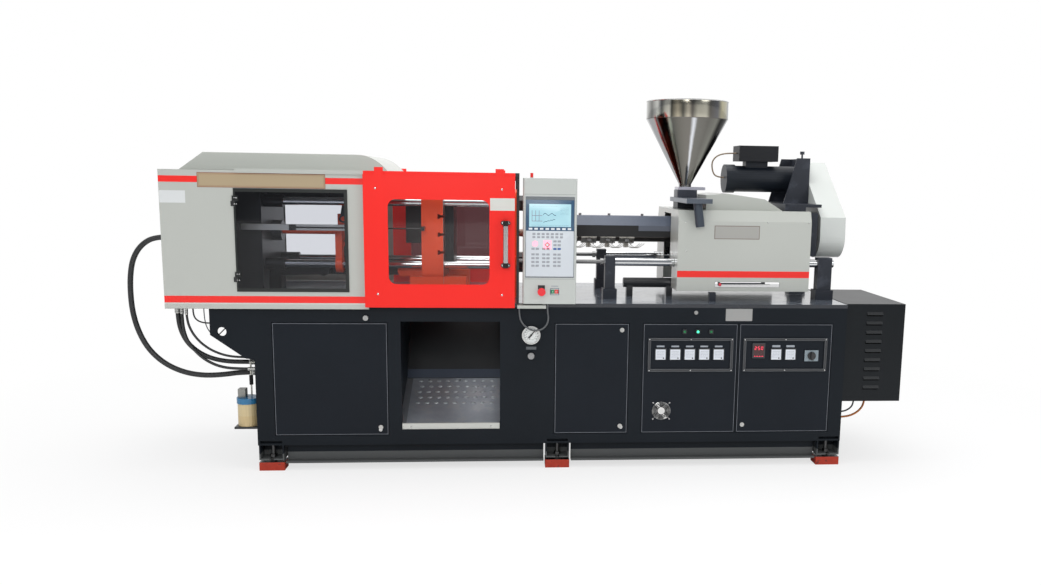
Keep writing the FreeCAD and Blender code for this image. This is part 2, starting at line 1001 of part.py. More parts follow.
# ---------------------------------------------------------------- side cabinet on the drive end
side_y = (-d.side_cabinet_front, d.side_cabinet_depth - d.side_cabinet_front)
side_z = (d.side_cabinet_low, d.side_cabinet_low + d.side_cabinet_height)
cabinet = block((bed_right, machine_right), side_y, side_z)
cabinet_room = block(
    (bed_right + d.sheet_wall, machine_right - d.sheet_wall),
    (side_y[0] + d.sheet_wall, side_y[1] - d.sheet_wall),
    (side_z[0] + d.sheet_wall, side_z[1] - d.sheet_wall),
)
louvre_x = (d.louvre_start, d.louvre_start + d.louvre_width)
slots, hoods = [], []
for step in range(9):
    low = d.louvre_low + d.louvre_pitch * step
    top = low + d.louvre_opening
    slots.append(block(louvre_x, (side_y[0] - 1, side_y[0] + d.sheet_wall + 1), (low, top)))
    hood = [(side_y[0], top), (side_y[0] - d.louvre_hood, top), (side_y[0], top + d.louvre_hood * 2)]
    hoods.append(prism("yz", hood, louvre_x))
glands = [
    hexagon("z", (2091, -350), 12, (side_z[0] - 12, side_z[0])),
    hexagon("z", (1990, -420), 10, (side_z[0] - 12, side_z[0])),
]
piece("side_cabinet", fuse(cut(cabinet, cabinet_room, *slots), *hoods, *glands))

# ---------------------------------------------------------------- pump set in the middle bay
floor = d.bed_underside + d.wall
pump_axis = (60, 420)
pump = fuse(
    drum("x", pump_axis, 105, (-190, 180)),
    drum("x", pump_axis, 80, (180, 270)),
    drum("x", pump_axis, 58, (270, 400)),
    block((-150, 140), (-30, 150), (floor, 340)),
    block((300, 360), (20, 100), (floor, 390)),
)
piece("pump_motor", pump)

# ---------------------------------------------------------------- pressure gauge on the bed front
gauge_at = (d.gauge_x, d.gauge_z)
gauge_back = bed_front - d.gauge_standoff
gauge_front = gauge_back - d.gauge_depth
dial = gauge_front + 9
gauge = cut(
    fuse(
        drum("y", gauge_at, 20, (gauge_back, bed_front)),
        drum("y", gauge_at, d.gauge_radius, (gauge_front, gauge_back), 32),
        drum("y", (d.gauge_x, d.valve_z), 14, (bed_front - 20, bed_front)),
        block((d.gauge_x - 30, d.gauge_x + 32), (bed_front - 2, bed_front), (749, 767)),
    ),
    drum("y", gauge_at, d.gauge_radius - d.gauge_rim, (gauge_front - 1, dial), 32),
    rod("y", gauge_at, 3 + d.running_gap, (dial - 1, dial + 8)),
    rod("y", (d.gauge_x, d.valve_z), 5 + d.running_gap, (bed_front - 21, bed_front - 4)),
)
piece("pressure_gauge", gauge)
pointer = prism(
    "xz",
    [(-5, -24), (5, -24), (1.5, 42), (-1.5, 42)],
    (0, 1.5),
)


def leaning(part, axis, degrees, at):
    """A shape modelled at the origin, turned and moved to its place."""
    thing = doc.addObject("Part::Compound", "Leaning")
    thing.Links = [part]
    thing.Placement = FreeCAD.Placement(Vector(), Rotation(axis, degrees))
    for name, size in zip("xyz", at):
        bind(thing, f"Placement.Base.{name}", size)
    return thing


needle = fuse(
    leaning(pointer, Vector(0, 1, 0), 40, (d.gauge_x, dial - 5, d.gauge_z)),
    drum("y", gauge_at, 6, (dial - 5, dial - 1)),
    rod("y", gauge_at, 3, (dial - 2, dial + 7)),
)
piece("gauge_needle", needle)
valve = fuse(
    drum("y", (d.gauge_x, d.valve_z), d.valve_knob_radius, (bed_front - 38, bed_front - 21)),
    rod("y", (d.gauge_x, d.valve_z), 5, (bed_front - 22, bed_front - 5)),
)
piece("gauge_valve", valve)

# ---------------------------------------------------------------- doors and instruments
piece("left_door", door_leaf(*DOORS["left_door"], [(-1016, 268)]))
piece("middle_door", door_leaf(*DOORS["middle_door"], [(450, 871), (448, 266)]))

door_face = bed_front
body_half = d.instrument_body / 2


def cutout(x, z, half_width, half_height):
    """The hole that an instrument's body stands in."""
    return block(
        (x - half_width - d.seat_gap, x + half_width + d.seat_gap),
        (bed_front - 1, bed_front + d.door_thickness + 1),
        (z - half_height - d.seat_gap, z + half_height + d.seat_gap),
    )


def instrument(x, z, width, height):
    """A panel instrument: bezel on the door face, body through the door."""
    half, tall = width / 2, height / 2
    bezel = block((x - half, x + half), (door_face - d.instrument_bezel, door_face), (z - tall, z + tall))
    body = block(
        (x - half + 3, x + half - 3),
        (door_face, door_face + d.instrument_depth),
        (z - tall + 3, z + tall - 3),
    )
    return fuse(bezel, body)


def frame_round(x):
    """The raised frame round a row of instruments."""
    right, top = x + d.frame_width, d.frame_low + d.frame_height
    face = (door_face - d.frame_thickness, door_face)
    outer = block((x, right), face, (d.frame_low, top))
    inner = block(
        (x + d.frame_bar, right - d.frame_bar),
        (face[0] - 1, face[1] + 1),
        (d.frame_low + d.frame_bar, top - d.frame_bar),
    )
    return cut(outer, inner)


controllers = [(d.first_controller_x + d.controller_pitch * i, d.instrument_z) for i in range(5)]
fan_at = (d.fan_x, d.fan_z)
cabinet_left_cuts = [cutout(x, z, body_half, body_half) for x, z in controllers]
through_door = (bed_front - 1, bed_front + d.door_thickness + 1)
cabinet_left_cuts.append(drum("y", fan_at, d.fan_bore, through_door, 24))
piece(
    "cabinet_door_left",
    door_leaf(*DOORS["cabinet_door_left"], [], cabinet_left_cuts),
)
fan_y = (bed_front + d.door_thickness, bed_front + d.door_thickness + d.fan_depth)
fan_half = d.fan_side / 2
fan_frame = cut(
    block((d.fan_x - fan_half, d.fan_x + fan_half), fan_y, (d.fan_z - fan_half, d.fan_z + fan_half)),
    drum("y", fan_at, d.fan_bore, (fan_y[0] - 1, fan_y[1] + 1), 24),
)
fan_spider = fuse(
    fan_frame,
    block((d.fan_x - fan_half, d.fan_x + fan_half), (fan_y[1] - 5, fan_y[1]), (d.fan_z - 6, d.fan_z + 6)),
    rod("y", fan_at, 5, (fan_y[0] + 8, fan_y[1])),
)
guard_wires = fuse(
    block((d.fan_x - fan_half, d.fan_x + fan_half), (bed_front - 4, bed_front), (d.fan_z - 3, d.fan_z + 3)),
    block((d.fan_x - 3, d.fan_x + 3), (bed_front - 4, bed_front), (d.fan_z - fan_half, d.fan_z + fan_half)),
)
lamps = [
    drum("y", (d.lamp_x + d.lamp_pitch * i, d.lamp_z), d.lamp_radius, (bed_front - 10, bed_front))
    for i in range(3)
]
piece(
    "left_instruments",
    group(
        frame_round(d.left_frame_x),
        *[instrument(x, z, d.instrument_side, d.instrument_side) for x, z in controllers],
        *lamps,
        fan_spider,
        guard_wires,
    ),
)
fan_turn_y = (fan_y[0] + 4, fan_y[1] - 8)
blade = block((d.fan_hub - 3, d.fan_blade), (0, 18), (-7, 7))
fan_parts = [drum("y", fan_at, d.fan_hub, fan_turn_y)]
for i in range(5):
    fan_parts.append(leaning(blade, Vector(0, 1, 0), 72 * i, (d.fan_x, fan_turn_y[0] + 3, d.fan_z)))
fan_rotor = cut(
    fuse(*fan_parts),
    rod("y", fan_at, 5 + d.running_gap, (fan_turn_y[0] + 3, fan_turn_y[1] + 1)),
)
piece("fan_rotor", fan_rotor)

right_row = [
    (d.meter_x, d.meter_z, d.instrument_side + 8, d.meter_height),
    (d.right_controller_x, d.instrument_z, d.instrument_side, d.instrument_side),
    (d.right_controller_x + d.controller_pitch, d.instrument_z, d.instrument_side, d.instrument_side),
    (d.isolator_x, d.isolator_z, d.isolator_width, d.isolator_height),
]
piece(
    "cabinet_door_right",
    door_leaf(
        *DOORS["cabinet_door_right"],
        [(1223, 269)],
        [cutout(x, z, width / 2 - 3, height / 2 - 3) for x, z, width, height in right_row],
    ),
)
right_bodies = [instrument(*place) for place in right_row]
spindle_hole = rod(
    "y",
    (d.isolator_x, d.isolator_z),
    6 + d.running_gap,
    (door_face - d.instrument_bezel - 1, door_face + 14),
)
right_bodies[3] = cut(right_bodies[3], spindle_hole)
piece("right_instruments", group(frame_round(d.right_frame_x), *right_bodies))
knob_face = door_face - d.instrument_bezel - 1
isolator = fuse(
    drum("y", (d.isolator_x, d.isolator_z), d.isolator_knob_radius, (knob_face - 8, knob_face)),
    block(
        (d.isolator_x - 7, d.isolator_x + 7),
        (knob_face - 22, knob_face),
        (d.isolator_z - 25, d.isolator_z + 25),
    ),
    rod("y", (d.isolator_x, d.isolator_z), 6, (knob_face - 1, door_face + 13)),
)
piece("isolator_handle", isolator)


# ---------------------------------------------------------------- platens and tie bars
tie_spots = [(sy * tie_offset, d.clamp_axis + sz * tie_offset) for sy in (-1, 1) for sz in (-1, 1)]
platen_z = (d.clamp_axis - platen_half, d.clamp_axis + platen_half)


def platen_plate(x):
    """A square platen with rounded corners."""
    outline = [
        (-platen_half, platen_z[0]),
        (platen_half, platen_z[0]),
        (platen_half, platen_z[1]),
        (-platen_half, platen_z[1]),
    ]
    return prism("yz", outline, x, rounded=d.platen_corner)


def fixed_tie_holes(x):
    """The tie bar holes of a platen that doesn't slide on the bars."""
    corner = around(d.tie_bar_radius + d.seat_gap)
    return [drum("x", spot, corner, (x[0] - 1, x[1] + 1)) for spot in tie_spots]


def platen_feet(x):
    """The two feet that stand a fixed platen on the table."""
    return on_both_sides(x, (platen_half - d.platen_foot, platen_half), (table_top_z, platen_z[0] + 50))


def axis_rod(radius, span):
    """A round bar on the clamp and screw axis."""
    return rod("x", (0, d.clamp_axis), radius, span)


def axis_drum(radius, span, sides=16):
    """A many-sided bar on the clamp and screw axis."""
    return drum("x", (0, d.clamp_axis), radius, span, sides)


stationary_x = (d.mould_face, d.mould_face + d.stationary_thickness)
ear_spots = [(-1, -rod_y), (1, rod_y)]
rod_ears = [
    block((stationary_x[1] - 50, stationary_x[1]), (y - 28, y + 28), (d.rod_z - 28, d.rod_z + 28))
    for _, y in ear_spots
]
bolt_spots = [(sy * 120, d.clamp_axis + sz * 120) for sy in (-1, 1) for sz in (-1, 1)]
stationary = cut(
    fuse(platen_plate(stationary_x), *platen_feet(stationary_x), *rod_ears),
    *fixed_tie_holes(stationary_x),
    axis_rod(d.locating_radius, (stationary_x[0] - 1, stationary_x[0] + d.locating_depth)),
    axis_drum(60, (stationary_x[0] + d.locating_depth, stationary_x[1] + 1)),
    *[rod("x", (y, z), 8, (stationary_x[0] - 1, stationary_x[0] + 30)) for y, z in bolt_spots],
)
piece("stationary_platen", stationary)

tie_x = (d.rear_platen_face - d.rear_platen_thickness - d.tie_nut_length, stationary_x[1] + d.tie_bar_end)
rear_x = (d.rear_platen_face - d.rear_platen_thickness, d.rear_platen_face)
bars = []
for y, z in tie_spots:
    bars.append(
        fuse(
            rod("x", (y, z), d.tie_bar_radius, tie_x),
            hexagon("x", (y, z), d.tie_nut_radius, (rear_x[0] - d.tie_nut_length, rear_x[0])),
            drum("x", (y, z), d.tie_collar_radius, (rear_x[1], rear_x[1] + d.tie_collar_length)),
            hexagon("x", (y, z), d.tie_nut_radius, (stationary_x[1], stationary_x[1] + d.tie_bar_end)),
        )
    )
piece("tie_bars", group(*bars))

# ---------------------------------------------------------------- toggle clamp
# Each chain is modelled for the upper half; the lower one is its mirror image about the clamp axis.
upper, lower = 1, -1


def pin_z(side, offset):
    """Height of a pin above or below the clamp axis."""
    return d.clamp_axis + side * as_size(offset)


def both_y(make, inner, outer):
    """The same plate or pin in the near and in the far half."""
    return [make((-as_size(outer), -as_size(inner))), make((inner, outer))]


def eye_bar(ends, radii, y):
    """A straight link plate: two round ends and the bar between them."""
    (x1, z1), (x2, z2) = ends
    r1, r2 = (as_size(r) * 0.8 for r in radii)
    if abs(as_size(x1).value - as_size(x2).value) > abs(as_size(z1).value - as_size(z2).value):
        outline = [(x1, z1 - r1), (x2, z2 - r2), (x2, z2 + r2), (x1, z1 + r1)]
    else:
        outline = [(x1 - r1, z1), (x2 - r2, z2), (x2 + r2, z2), (x1 + r1, z1)]
    return fuse(
        prism("xz", outline, y),
        drum("y", (x1, z1), radii[0], y),
        drum("y", (x2, z2), radii[1], y),
    )


def chain(side):
    """The five pins of one toggle half, as x and z."""
    a = (d.rear_pin_x, pin_z(side, d.toggle_offset))
    b = (d.rear_pin_x + d.rear_link_length, a[1])
    c = (front_pin_x, a[1])
    drive = (d.rear_pin_x + d.drive_pin_along, pin_z(side, d.toggle_offset - d.drive_pin_inward))
    cross = (d.crosshead_pin_x, pin_z(side, d.crosshead_pin_height))
    return a, b, c, drive, cross


def bored(shape, spot, radius, free_spot=None):
    """A link with the running hole for its pin, and the hole of an elbow that no pin here fills."""
    across = (-150, 150)
    holes = [rod("y", spot, radius + d.running_gap, across)]
    if free_spot is not None:
        holes.append(drum("y", free_spot, radius + 1, across))
    return cut(shape, *holes)


lug_layers = ((d.inner_lug, d.inner_lug + d.link_plate), (d.front_link, d.front_link + d.link_plate))
rear_parts = [platen_plate(rear_x), *platen_feet(rear_x)]
moving_layers = (
    (d.moving_lug, d.moving_lug + d.moving_lug_plate),
    (d.outer_lug, d.outer_lug + d.link_plate),
)
moving_parts = [platen_plate((moving_back, moving_face))]
for side in (upper, lower):
    a, b, c, drive, cross = chain(side)
    for inner, outer in lug_layers:
        rear_parts += both_y(
            lambda y: eye_bar(((rear_x[1] - 20, a[1]), a), (d.lug_round * 1.3, d.lug_round), y), inner, outer
        )
    rear_parts += both_y(
        lambda y: rod("y", a, d.toggle_pin_radius, y),
        d.inner_lug,
        d.front_link + d.link_plate,
    )
    for inner, outer in moving_layers:
        moving_parts += both_y(
            lambda y: eye_bar((c, (moving_back + 20, c[1])), (d.lug_round, d.lug_round), y), inner, outer
        )
    moving_parts += both_y(
        lambda y: rod("y", c, d.toggle_pin_radius, y), d.moving_lug, d.outer_lug + d.link_plate
    )

ram_hole = axis_drum(d.ram_radius + d.seat_gap, (rear_x[0] - 1, rear_x[1] + 1))
piece("rear_platen", cut(fuse(*rear_parts), ram_hole, *fixed_tie_holes(rear_x)))

ram_x = (d.ram_front - d.ram_length, d.ram_front)
ram_room = (ram_x[0] + d.ram_cap, ram_x[1] - d.ram_cap)
ram = cut(
    fuse(
        axis_drum(d.ram_radius, ram_x),
        axis_drum(d.ram_flange_radius, (rear_x[0] - d.ram_flange, rear_x[0])),
        block((ram_x[0] + 15, ram_x[0] + 65), (-20, 20), (d.clamp_axis, d.clamp_axis + d.ram_radius + 22)),
    ),
    axis_drum(d.ram_bore, ram_room),
    axis_drum(d.ram_rod + d.running_gap, (ram_room[1] - 1, ram_x[1] + 1)),
)
piece("clamp_cylinder", ram)

crosshead_x = (d.crosshead_pin_x - d.crosshead_length / 2, d.crosshead_pin_x + d.crosshead_length / 2)
yoke_x = (d.crosshead_pin_x - d.yoke_thickness / 2, d.crosshead_pin_x + d.yoke_thickness / 2)
guide_z = d.clamp_axis - tie_offset
yoke_z = (d.clamp_axis - d.yoke_half_height, d.clamp_axis + d.yoke_half_height)
crosshead_parts = [
    block(
        crosshead_x,
        (-d.crosshead_half_width, d.crosshead_half_width),
        (d.clamp_axis - d.crosshead_half_height, d.clamp_axis + d.crosshead_half_height),
    ),
    block(yoke_x, (-d.yoke_half_width, d.yoke_half_width), yoke_z),
    *on_both_sides(yoke_x, (d.yoke_half_width - d.yoke_leg, d.yoke_half_width), (guide_z, yoke_z[1])),
    axis_drum(d.ram_rod, (crosshead_x[0] - d.ram_rod_length, crosshead_x[0])),
    axis_drum(
        d.ram_bore - d.running_gap,
        (crosshead_x[0] - d.ram_rod_length, crosshead_x[0] - d.ram_rod_length + d.piston_length),
    ),
]
for y in (-tie_offset, tie_offset):
    crosshead_parts.append(drum("x", (y, guide_z), d.yoke_boss_radius, yoke_x))
for side in (upper, lower):
    cross = chain(side)[4]
    crosshead_parts += both_y(
        lambda y: rod("y", cross, d.small_pin_radius, y), d.inner_lug, d.small_link + d.small_link_plate
    )
guide_holes = [
    rod("x", (y, guide_z), d.tie_bar_radius + d.running_gap, (yoke_x[0] - 1, yoke_x[1] + 1))
    for y in (-tie_offset, tie_offset)
]
piece("crosshead", cut(fuse(*crosshead_parts), *guide_holes))

for side, name in ((upper, "upper"), (lower, "lower")):
    a, b, c, drive, cross = chain(side)
    rear_plates = []
    for y in ((-d.rear_link - d.link_plate, -d.rear_link), (d.rear_link, d.rear_link + d.link_plate)):
        arm = prism(
            "xz",
            [
                (a[0] + 10, a[1] - side * 30),
                (b[0] - 10, b[1] - side * 30),
                (drive[0] + d.drive_round * 0.8, drive[1]),
                (drive[0] - d.drive_round * 0.8, drive[1]),
            ],
            y,
        )
        rear_plates.append(
            fuse(eye_bar((a, b), (d.link_round, d.link_round), y), arm, drum("y", drive, d.drive_round, y))
        )
    links = [bored(plate, a, d.toggle_pin_radius) for plate in rear_plates]
    elbow = drum("y", b, d.toggle_pin_radius, (-d.rear_link - 10, d.rear_link + 10))
    piece(f"rear_link_{name}", fuse(*links, elbow))

    front_plates = both_y(
        lambda y: eye_bar((b, c), (d.link_round, d.link_round), y), d.front_link, d.front_link + d.link_plate
    )
    piece(
        f"front_link_{name}",
        group(*[bored(plate, c, d.toggle_pin_radius, b) for plate in front_plates]),
    )

    drive_plates = both_y(
        lambda y: eye_bar((drive, cross), (d.drive_round, d.drive_round), y),
        d.small_link,
        d.small_link + d.small_link_plate,
    )
    piece(
        f"crosshead_link_{name}",
        group(*[bored(plate, cross, d.small_pin_radius, drive) for plate in drive_plates]),
    )

# ---------------------------------------------------------------- moving platen, ejector, transducer
shoe_x = (d.shoe_left, d.shoe_left + d.shoe_length)
shoe_y = (d.shoe_centre - d.shoe_width / 2, d.shoe_centre + d.shoe_width / 2)
moving_parts += on_both_sides(shoe_x, shoe_y, (way_top, way_top + d.shoe_height))
tee_cuts = []
for step in (-1, 0, 1):
    z = d.clamp_axis + step * d.tee_pitch
    long_y = (-platen_half - 1, platen_half + 1)
    neck = block(
        (moving_face - d.tee_depth, moving_face + 1),
        long_y,
        (z - d.tee_neck / 2, z + d.tee_neck / 2),
    )
    head = block(
        (moving_face - d.tee_depth, moving_face - d.tee_depth + d.tee_head_depth),
        long_y,
        (z - d.tee_head / 2, z + d.tee_head / 2),
    )
    tee_cuts += [neck, head]
ejector_hole = axis_drum(d.ejector_rod_radius + 5, (moving_back - 1, moving_face + 60))
slide_holes = [
    rod("x", spot, d.tie_bar_radius + d.running_gap, (moving_back - 1, moving_face + 1))
    for spot in tie_spots
]
moving_body = cut(fuse(*moving_parts), *tee_cuts, *slide_holes, ejector_hole)
plate_half = tie_offset - d.tie_bar_radius - 10
mounting_plate = cut(
    block(
        (moving_face, moving_face + 57),
        (-plate_half, plate_half),
        (d.clamp_axis - 200, d.clamp_axis + 200),
    ),
    axis_drum(d.ejector_rod_radius + 5, (moving_face - 1, moving_face + 60)),
)
ejector_block = cut(
    block(
        (moving_back - d.ejector_length, moving_back),
        (-d.ejector_half_width + 22, d.ejector_half_width - 22),
        (d.clamp_axis - d.ejector_low, d.clamp_axis + d.ejector_high),
    ),
    axis_drum(d.ejector_rod_radius + d.running_gap, (moving_back - d.ejector_length + 15, moving_back + 1)),
)
transducer_z = (d.transducer_low, d.transducer_low + d.transducer_height)
cursor_y = (d.transducer_front - d.cursor_thickness, d.transducer_front)
cursor = fuse(
    block((d.cursor_x - d.cursor_length / 2, d.cursor_x + d.cursor_length / 2), cursor_y, transducer_z),
    hexagon(
        "x",
        (d.transducer_front - d.cursor_thickness / 2, d.transducer_low + 18),
        4,
        (d.cursor_x, moving_back + 10),
    ),
    block(
        (moving_back, moving_back + 24),
        (cursor_y[0], -platen_half),
        (d.transducer_low + 6, d.transducer_low + 30),
    ),
)
piece("moving_platen", group(moving_body, mounting_plate, ejector_block, cursor))
ejector_x = (moving_back - d.ejector_length + 25, moving_back - d.ejector_length + 25 + d.ejector_rod_length)
piece("ejector_rod", axis_drum(d.ejector_rod_radius, ejector_x))
transducer_y = (d.transducer_front, d.transducer_front + d.transducer_depth)
bar = block((d.transducer_left, d.transducer_left + d.transducer_length), transducer_y, transducer_z)
mounts = [
    block((x, x + 30), (transducer_y[1], -platen_half), (d.transducer_low + 6, d.transducer_low + 30))
    for x in (rear_x[0] + 60, rear_x[1] - 40)
]
piece("linear_transducer", fuse(bar, *mounts))

# ---------------------------------------------------------------- sheet cover round the clamp
cover_x = (machine_left + d.gland_length, machine_left + d.cover_length)
cover_z = (d.cover_low, d.cover_low + d.cover_height)
sheet_5 = as_size(5)
window_x = (d.clamp_window_left, d.clamp_window_left + d.clamp_window_width)
window_z = (d.clamp_window_low, d.clamp_window_low + d.clamp_window_height)


def cover_side():
    """One long side: sheet with its window, the flange that stands on the table and the top flange."""
    sheet_panel = block(cover_x, (-cover_half, -cover_half + sheet_5), cover_z)
    inner = -cover_half + sheet_5
    foot = block(
        (bed_left - d.gusset_length, cover_x[1]),
        (inner, inner + 60),
        (table_top_z, table_top_z + sheet_5),
    )
    head = block(cover_x, (inner, inner + 25), (cover_z[1] - sheet_5, cover_z[1]))
    hole = block(window_x, (-cover_half - 1, inner + 1), window_z)
    return fuse(cut(sheet_panel, hole), foot, head)


end_z = (cover_z[0], cover_z[1])
inner_half = cover_half - sheet_5
end_panel = block((cover_x[0], cover_x[0] + sheet_5), (-inner_half, inner_half), end_z)
bottom_panel = block(
    (cover_x[0] + sheet_5, bed_left - d.gusset_length - sheet_5),
    (-inner_half, inner_half),
    (cover_z[0], cover_z[0] + sheet_5),
)
hinge_spots = (as_size(1596), as_size(1156))
hinge_x, hinge_y = window_x[0] - 12, -cover_half - d.hinge_radius
knuckles = []
for z in hinge_spots:
    knuckles.append(
        block(
            (hinge_x - 14, hinge_x + 2),
            (-cover_half - 4, -cover_half),
            (z, z + d.hinge_height / 2),
        )
    )
    knuckles.append(drum("z", (hinge_x, hinge_y), d.hinge_radius, (z, z + d.hinge_height / 2), 8))
    knuckles.append(rod("z", (hinge_x, hinge_y), d.hinge_pin_radius, (z, z + d.hinge_height)))
hose_glands = [
    hexagon("x", (-360, 1400), 24, (machine_left, cover_x[0])),
    hexagon("z", (-2226, -410), 21, (cover_z[0] - 12, cover_z[0])),
    hexagon("z", (-2188, -450), 14, (cover_z[0] - 10, cover_z[0])),
    hexagon("z", (-2149, -490), 12, (cover_z[0] - 10, cover_z[0])),
    hexagon("z", (-2100, -520), 9, (cover_z[0] - 8, cover_z[0])),
    hexagon("z", (-2043, -505), 8, (cover_z[0] - 6, cover_z[0])),
]
front_side = cover_side()
rear_side = mirrored(cover_side())
clamp_cover = fuse(front_side, rear_side, end_panel, bottom_panel, *knuckles, *hose_glands)
cover_face = -cover_half
bare_plate = block((-2020, -1302), (cover_face - 1.5, cover_face), (1702, 1785))
piece("clamp_cover", group(clamp_cover, bare_plate))

lap = d.clamp_window_lap
pane = block(
    (window_x[0] - lap + 4, window_x[1] + lap),
    (cover_face - d.pane, cover_face),
    (window_z[0] - lap, window_z[1] + lap),
)
leaves = []
for z in hinge_spots:
    low, high = z + d.hinge_height / 2 + 0.3, z + d.hinge_height
    pane = cut(pane, block((hinge_x - 20, hinge_x + 7), (cover_face - 20, cover_face + 1), (z - 2, low)))
    leaves.append(
        block((hinge_x, hinge_x + 30), (cover_face - d.pane - 3, cover_face - d.pane + 1), (low, high))
    )
    leaves.append(drum("z", (hinge_x, hinge_y), d.hinge_radius, (low, high), 8))
pins = [
    rod(
        "z",
        (hinge_x, hinge_y),
        d.hinge_pin_radius + d.running_gap,
        (z + d.hinge_height / 2, z + d.hinge_height + 1),
    )
    for z in hinge_spots
]
piece("clamp_window", cut(fuse(pane, *leaves), *pins))

roof_z = (cover_z[1], cover_z[1] + 3)
roof_x = (cover_x[0], cover_x[0] + d.roof_length)
hump_x = roof_x[0] + d.hump_left
hump_top = (hump_x + d.hump_slope, hump_x + d.hump_slope + d.hump_length - 150)
hump_z = roof_z[1] + d.hump_height


def hump(inset):
    """The raised middle of the roof, its ends leaning in."""
    lean = inset * 1.4
    base = roof_z[1] - inset * 2
    outline = [
        (hump_x + lean, base),
        (hump_top[0] + inset, hump_z - inset),
        (hump_top[1] - inset, hump_z - inset),
        (hump_top[1] + d.hump_right_slope - lean, base),
    ]
    half = d.hump_half_width - inset
    return prism("xz", outline, (-half, half))


roof_plate = block(roof_x, (-cover_half, cover_half), roof_z)
piece("clamp_roof", cut(fuse(roof_plate, hump(as_size(0))), hump(as_size(3))))

# ---------------------------------------------------------------- guard frame, doors, operator panel
door_front = -door_plane - d.door_return
beam_y = (-cover_half, -cover_half + d.guard_beam_depth + 7)
beam_z = (d.guard_beam_low, d.guard_beam_low + d.guard_beam_height)
post_x = (d.guard_post_x, d.guard_post_x + d.guard_post_width)
rail_y = (-cover_half - 15, -cover_half)
rail_z = (cover_z[1] - d.door_rail_height / 2, cover_z[1] + d.door_rail_height / 2)
frame_side = fuse(
    block(post_x, (-cover_half, bed_front + 10), (table_top_z, rail_z[1])),
    block((cover_x[1], post_x[1]), beam_y, beam_z),
    block((d.door_left - d.door_travel - 20, post_x[1]), rail_y, rail_z),
)
tie_beam = block(post_x, (beam_y[1], -beam_y[1]), beam_z)
bracket = block((-192, -20), (-panel_front - 10, bed_front), (1010, 1028))
pivot_boss = block((-150, -70), (bed_front, bed_front + 30), (table_top_z, table_top_z + 3))
pivot_pin = rod(
    "z",
    (d.panel_pivot_x, -panel_pivot_y),
    d.panel_pivot_radius,
    (table_top_z, d.panel_low + 40),
)
frame_all = group(fuse(frame_side, mirrored(frame_side), tie_beam), bracket, fuse(pivot_boss, pivot_pin))
piece("guard_frame", frame_all)

door_x = (d.door_left, d.door_right)
door_z = (d.door_bottom, d.door_top)
glass_x = (d.door_window_left, d.door_window_left + d.door_window_width)
glass_z = (d.door_window_low, d.door_window_low + d.door_window_height)


def sliding_door():
    """A tray-shaped sheet door with its window opening, hangers, rollers and grip."""
    tray = block(door_x, (door_front, -door_plane), door_z)
    room = block(
        (door_x[0] + d.door_sheet, door_x[1] - d.door_sheet),
        (door_front + d.door_sheet, -door_plane + 1),
        (door_z[0] + d.door_sheet, door_z[1] - d.door_sheet),
    )
    corners = [
        (glass_x[0], glass_z[0]),
        (glass_x[1], glass_z[0]),
        (glass_x[1], glass_z[1]),
        (glass_x[0], glass_z[1]),
    ]
    opening = prism(
        "xz",
        corners,
        (door_front - 1, door_front + d.door_sheet + 1),
        rounded=d.door_window_corner,
    )
    hangers = []
    for x in (door_x[0] + 90, door_x[1] - 90):
        hangers.append(
            block((x - 25, x + 25), (-door_plane - 8, -door_plane - 2), (door_z[1] - 30, rail_z[1] + 22))
        )
        hangers.append(drum("y", (x, rail_z[1] + d.seat_gap + 9), 9, (-door_plane - 4, rail_y[0] + 12)))
    mid = (d.handle_low, d.handle_low + d.handle_height)
    reach = door_front - d.handle_reach
    grip = [drum("z", (d.handle_x, reach + d.handle_radius), d.handle_radius, mid)]
    for z in mid:
        foot_z = (z - d.handle_foot_height / 2, z + d.handle_foot_height / 2)
        grip.append(block((d.handle_x - 14, d.handle_x + 14), (reach + 4, door_front), foot_z))
    return fuse(cut(tray, room, opening), *hangers, *grip)


def door_glass(gap_y):
    """The clear pane behind a door's window opening."""
    return block(
        (glass_x[0] - 12, glass_x[1] + 12), (gap_y, gap_y + 4), (glass_z[0] - 12, glass_z[1] + 12)
    )


piece("safety_door", sliding_door())
piece("door_pane", door_glass(door_front + d.door_sheet))
piece("rear_door", group(mirrored(sliding_door()), mirrored(door_glass(door_front + d.door_sheet))))

panel_x = (-d.panel_width / 2, d.panel_width / 2)
panel_y = (-panel_front, -panel_front + d.panel_depth)
panel_z = (d.panel_low, d.panel_low + d.panel_height)
panel_outline = [
    (panel_x[0], panel_y[0]),
    (panel_x[1], panel_y[0]),
    (panel_x[1], panel_y[1]),
    (panel_x[0], panel_y[1]),
]
panel_box = prism("xy", panel_outline, panel_z, rounded=d.panel_corner)
recess = block(
    (panel_x[0] + d.panel_rim, panel_x[1] - d.panel_rim),
    (panel_y[0] - 1, panel_y[0] + d.panel_recess),
    (d.panel_recess_low, d.panel_recess_low + d.panel_recess_height),
)
stop_at = (d.stop_x, d.button_row)
stop_hole = rod("y", stop_at, d.stop_stem + d.running_gap, (panel_y[0] - 1, panel_y[0] + 45))
rocker_pin_y = panel_y[0] + d.rocker_depth / 2 + 2
rocker_room = block(
    (d.rocker_x - d.rocker_width / 2 - 2, d.rocker_x + d.rocker_width / 2 + 2),
    (panel_y[0] - 1, panel_y[0] + 26),
    (d.button_row - d.rocker_height / 2 - 0.3, d.button_row + d.rocker_height / 2 + 0.3),
)
rocker_holes = rod(
    "z",
    (d.rocker_x, rocker_pin_y),
    3 + d.running_gap,
    (d.button_row - d.rocker_height / 2 - 6, d.button_row + d.rocker_height / 2 + 6),
)
pivot_socket = rod(
    "z",
    (d.panel_pivot_x, -panel_pivot_y),
    d.panel_pivot_radius + d.running_gap,
    (panel_z[0] - 1, panel_z[0] + 42),
)
shutter = drum("z", (-109, panel_y[0] + 40), 9, (panel_z[1], panel_z[1] + 30))
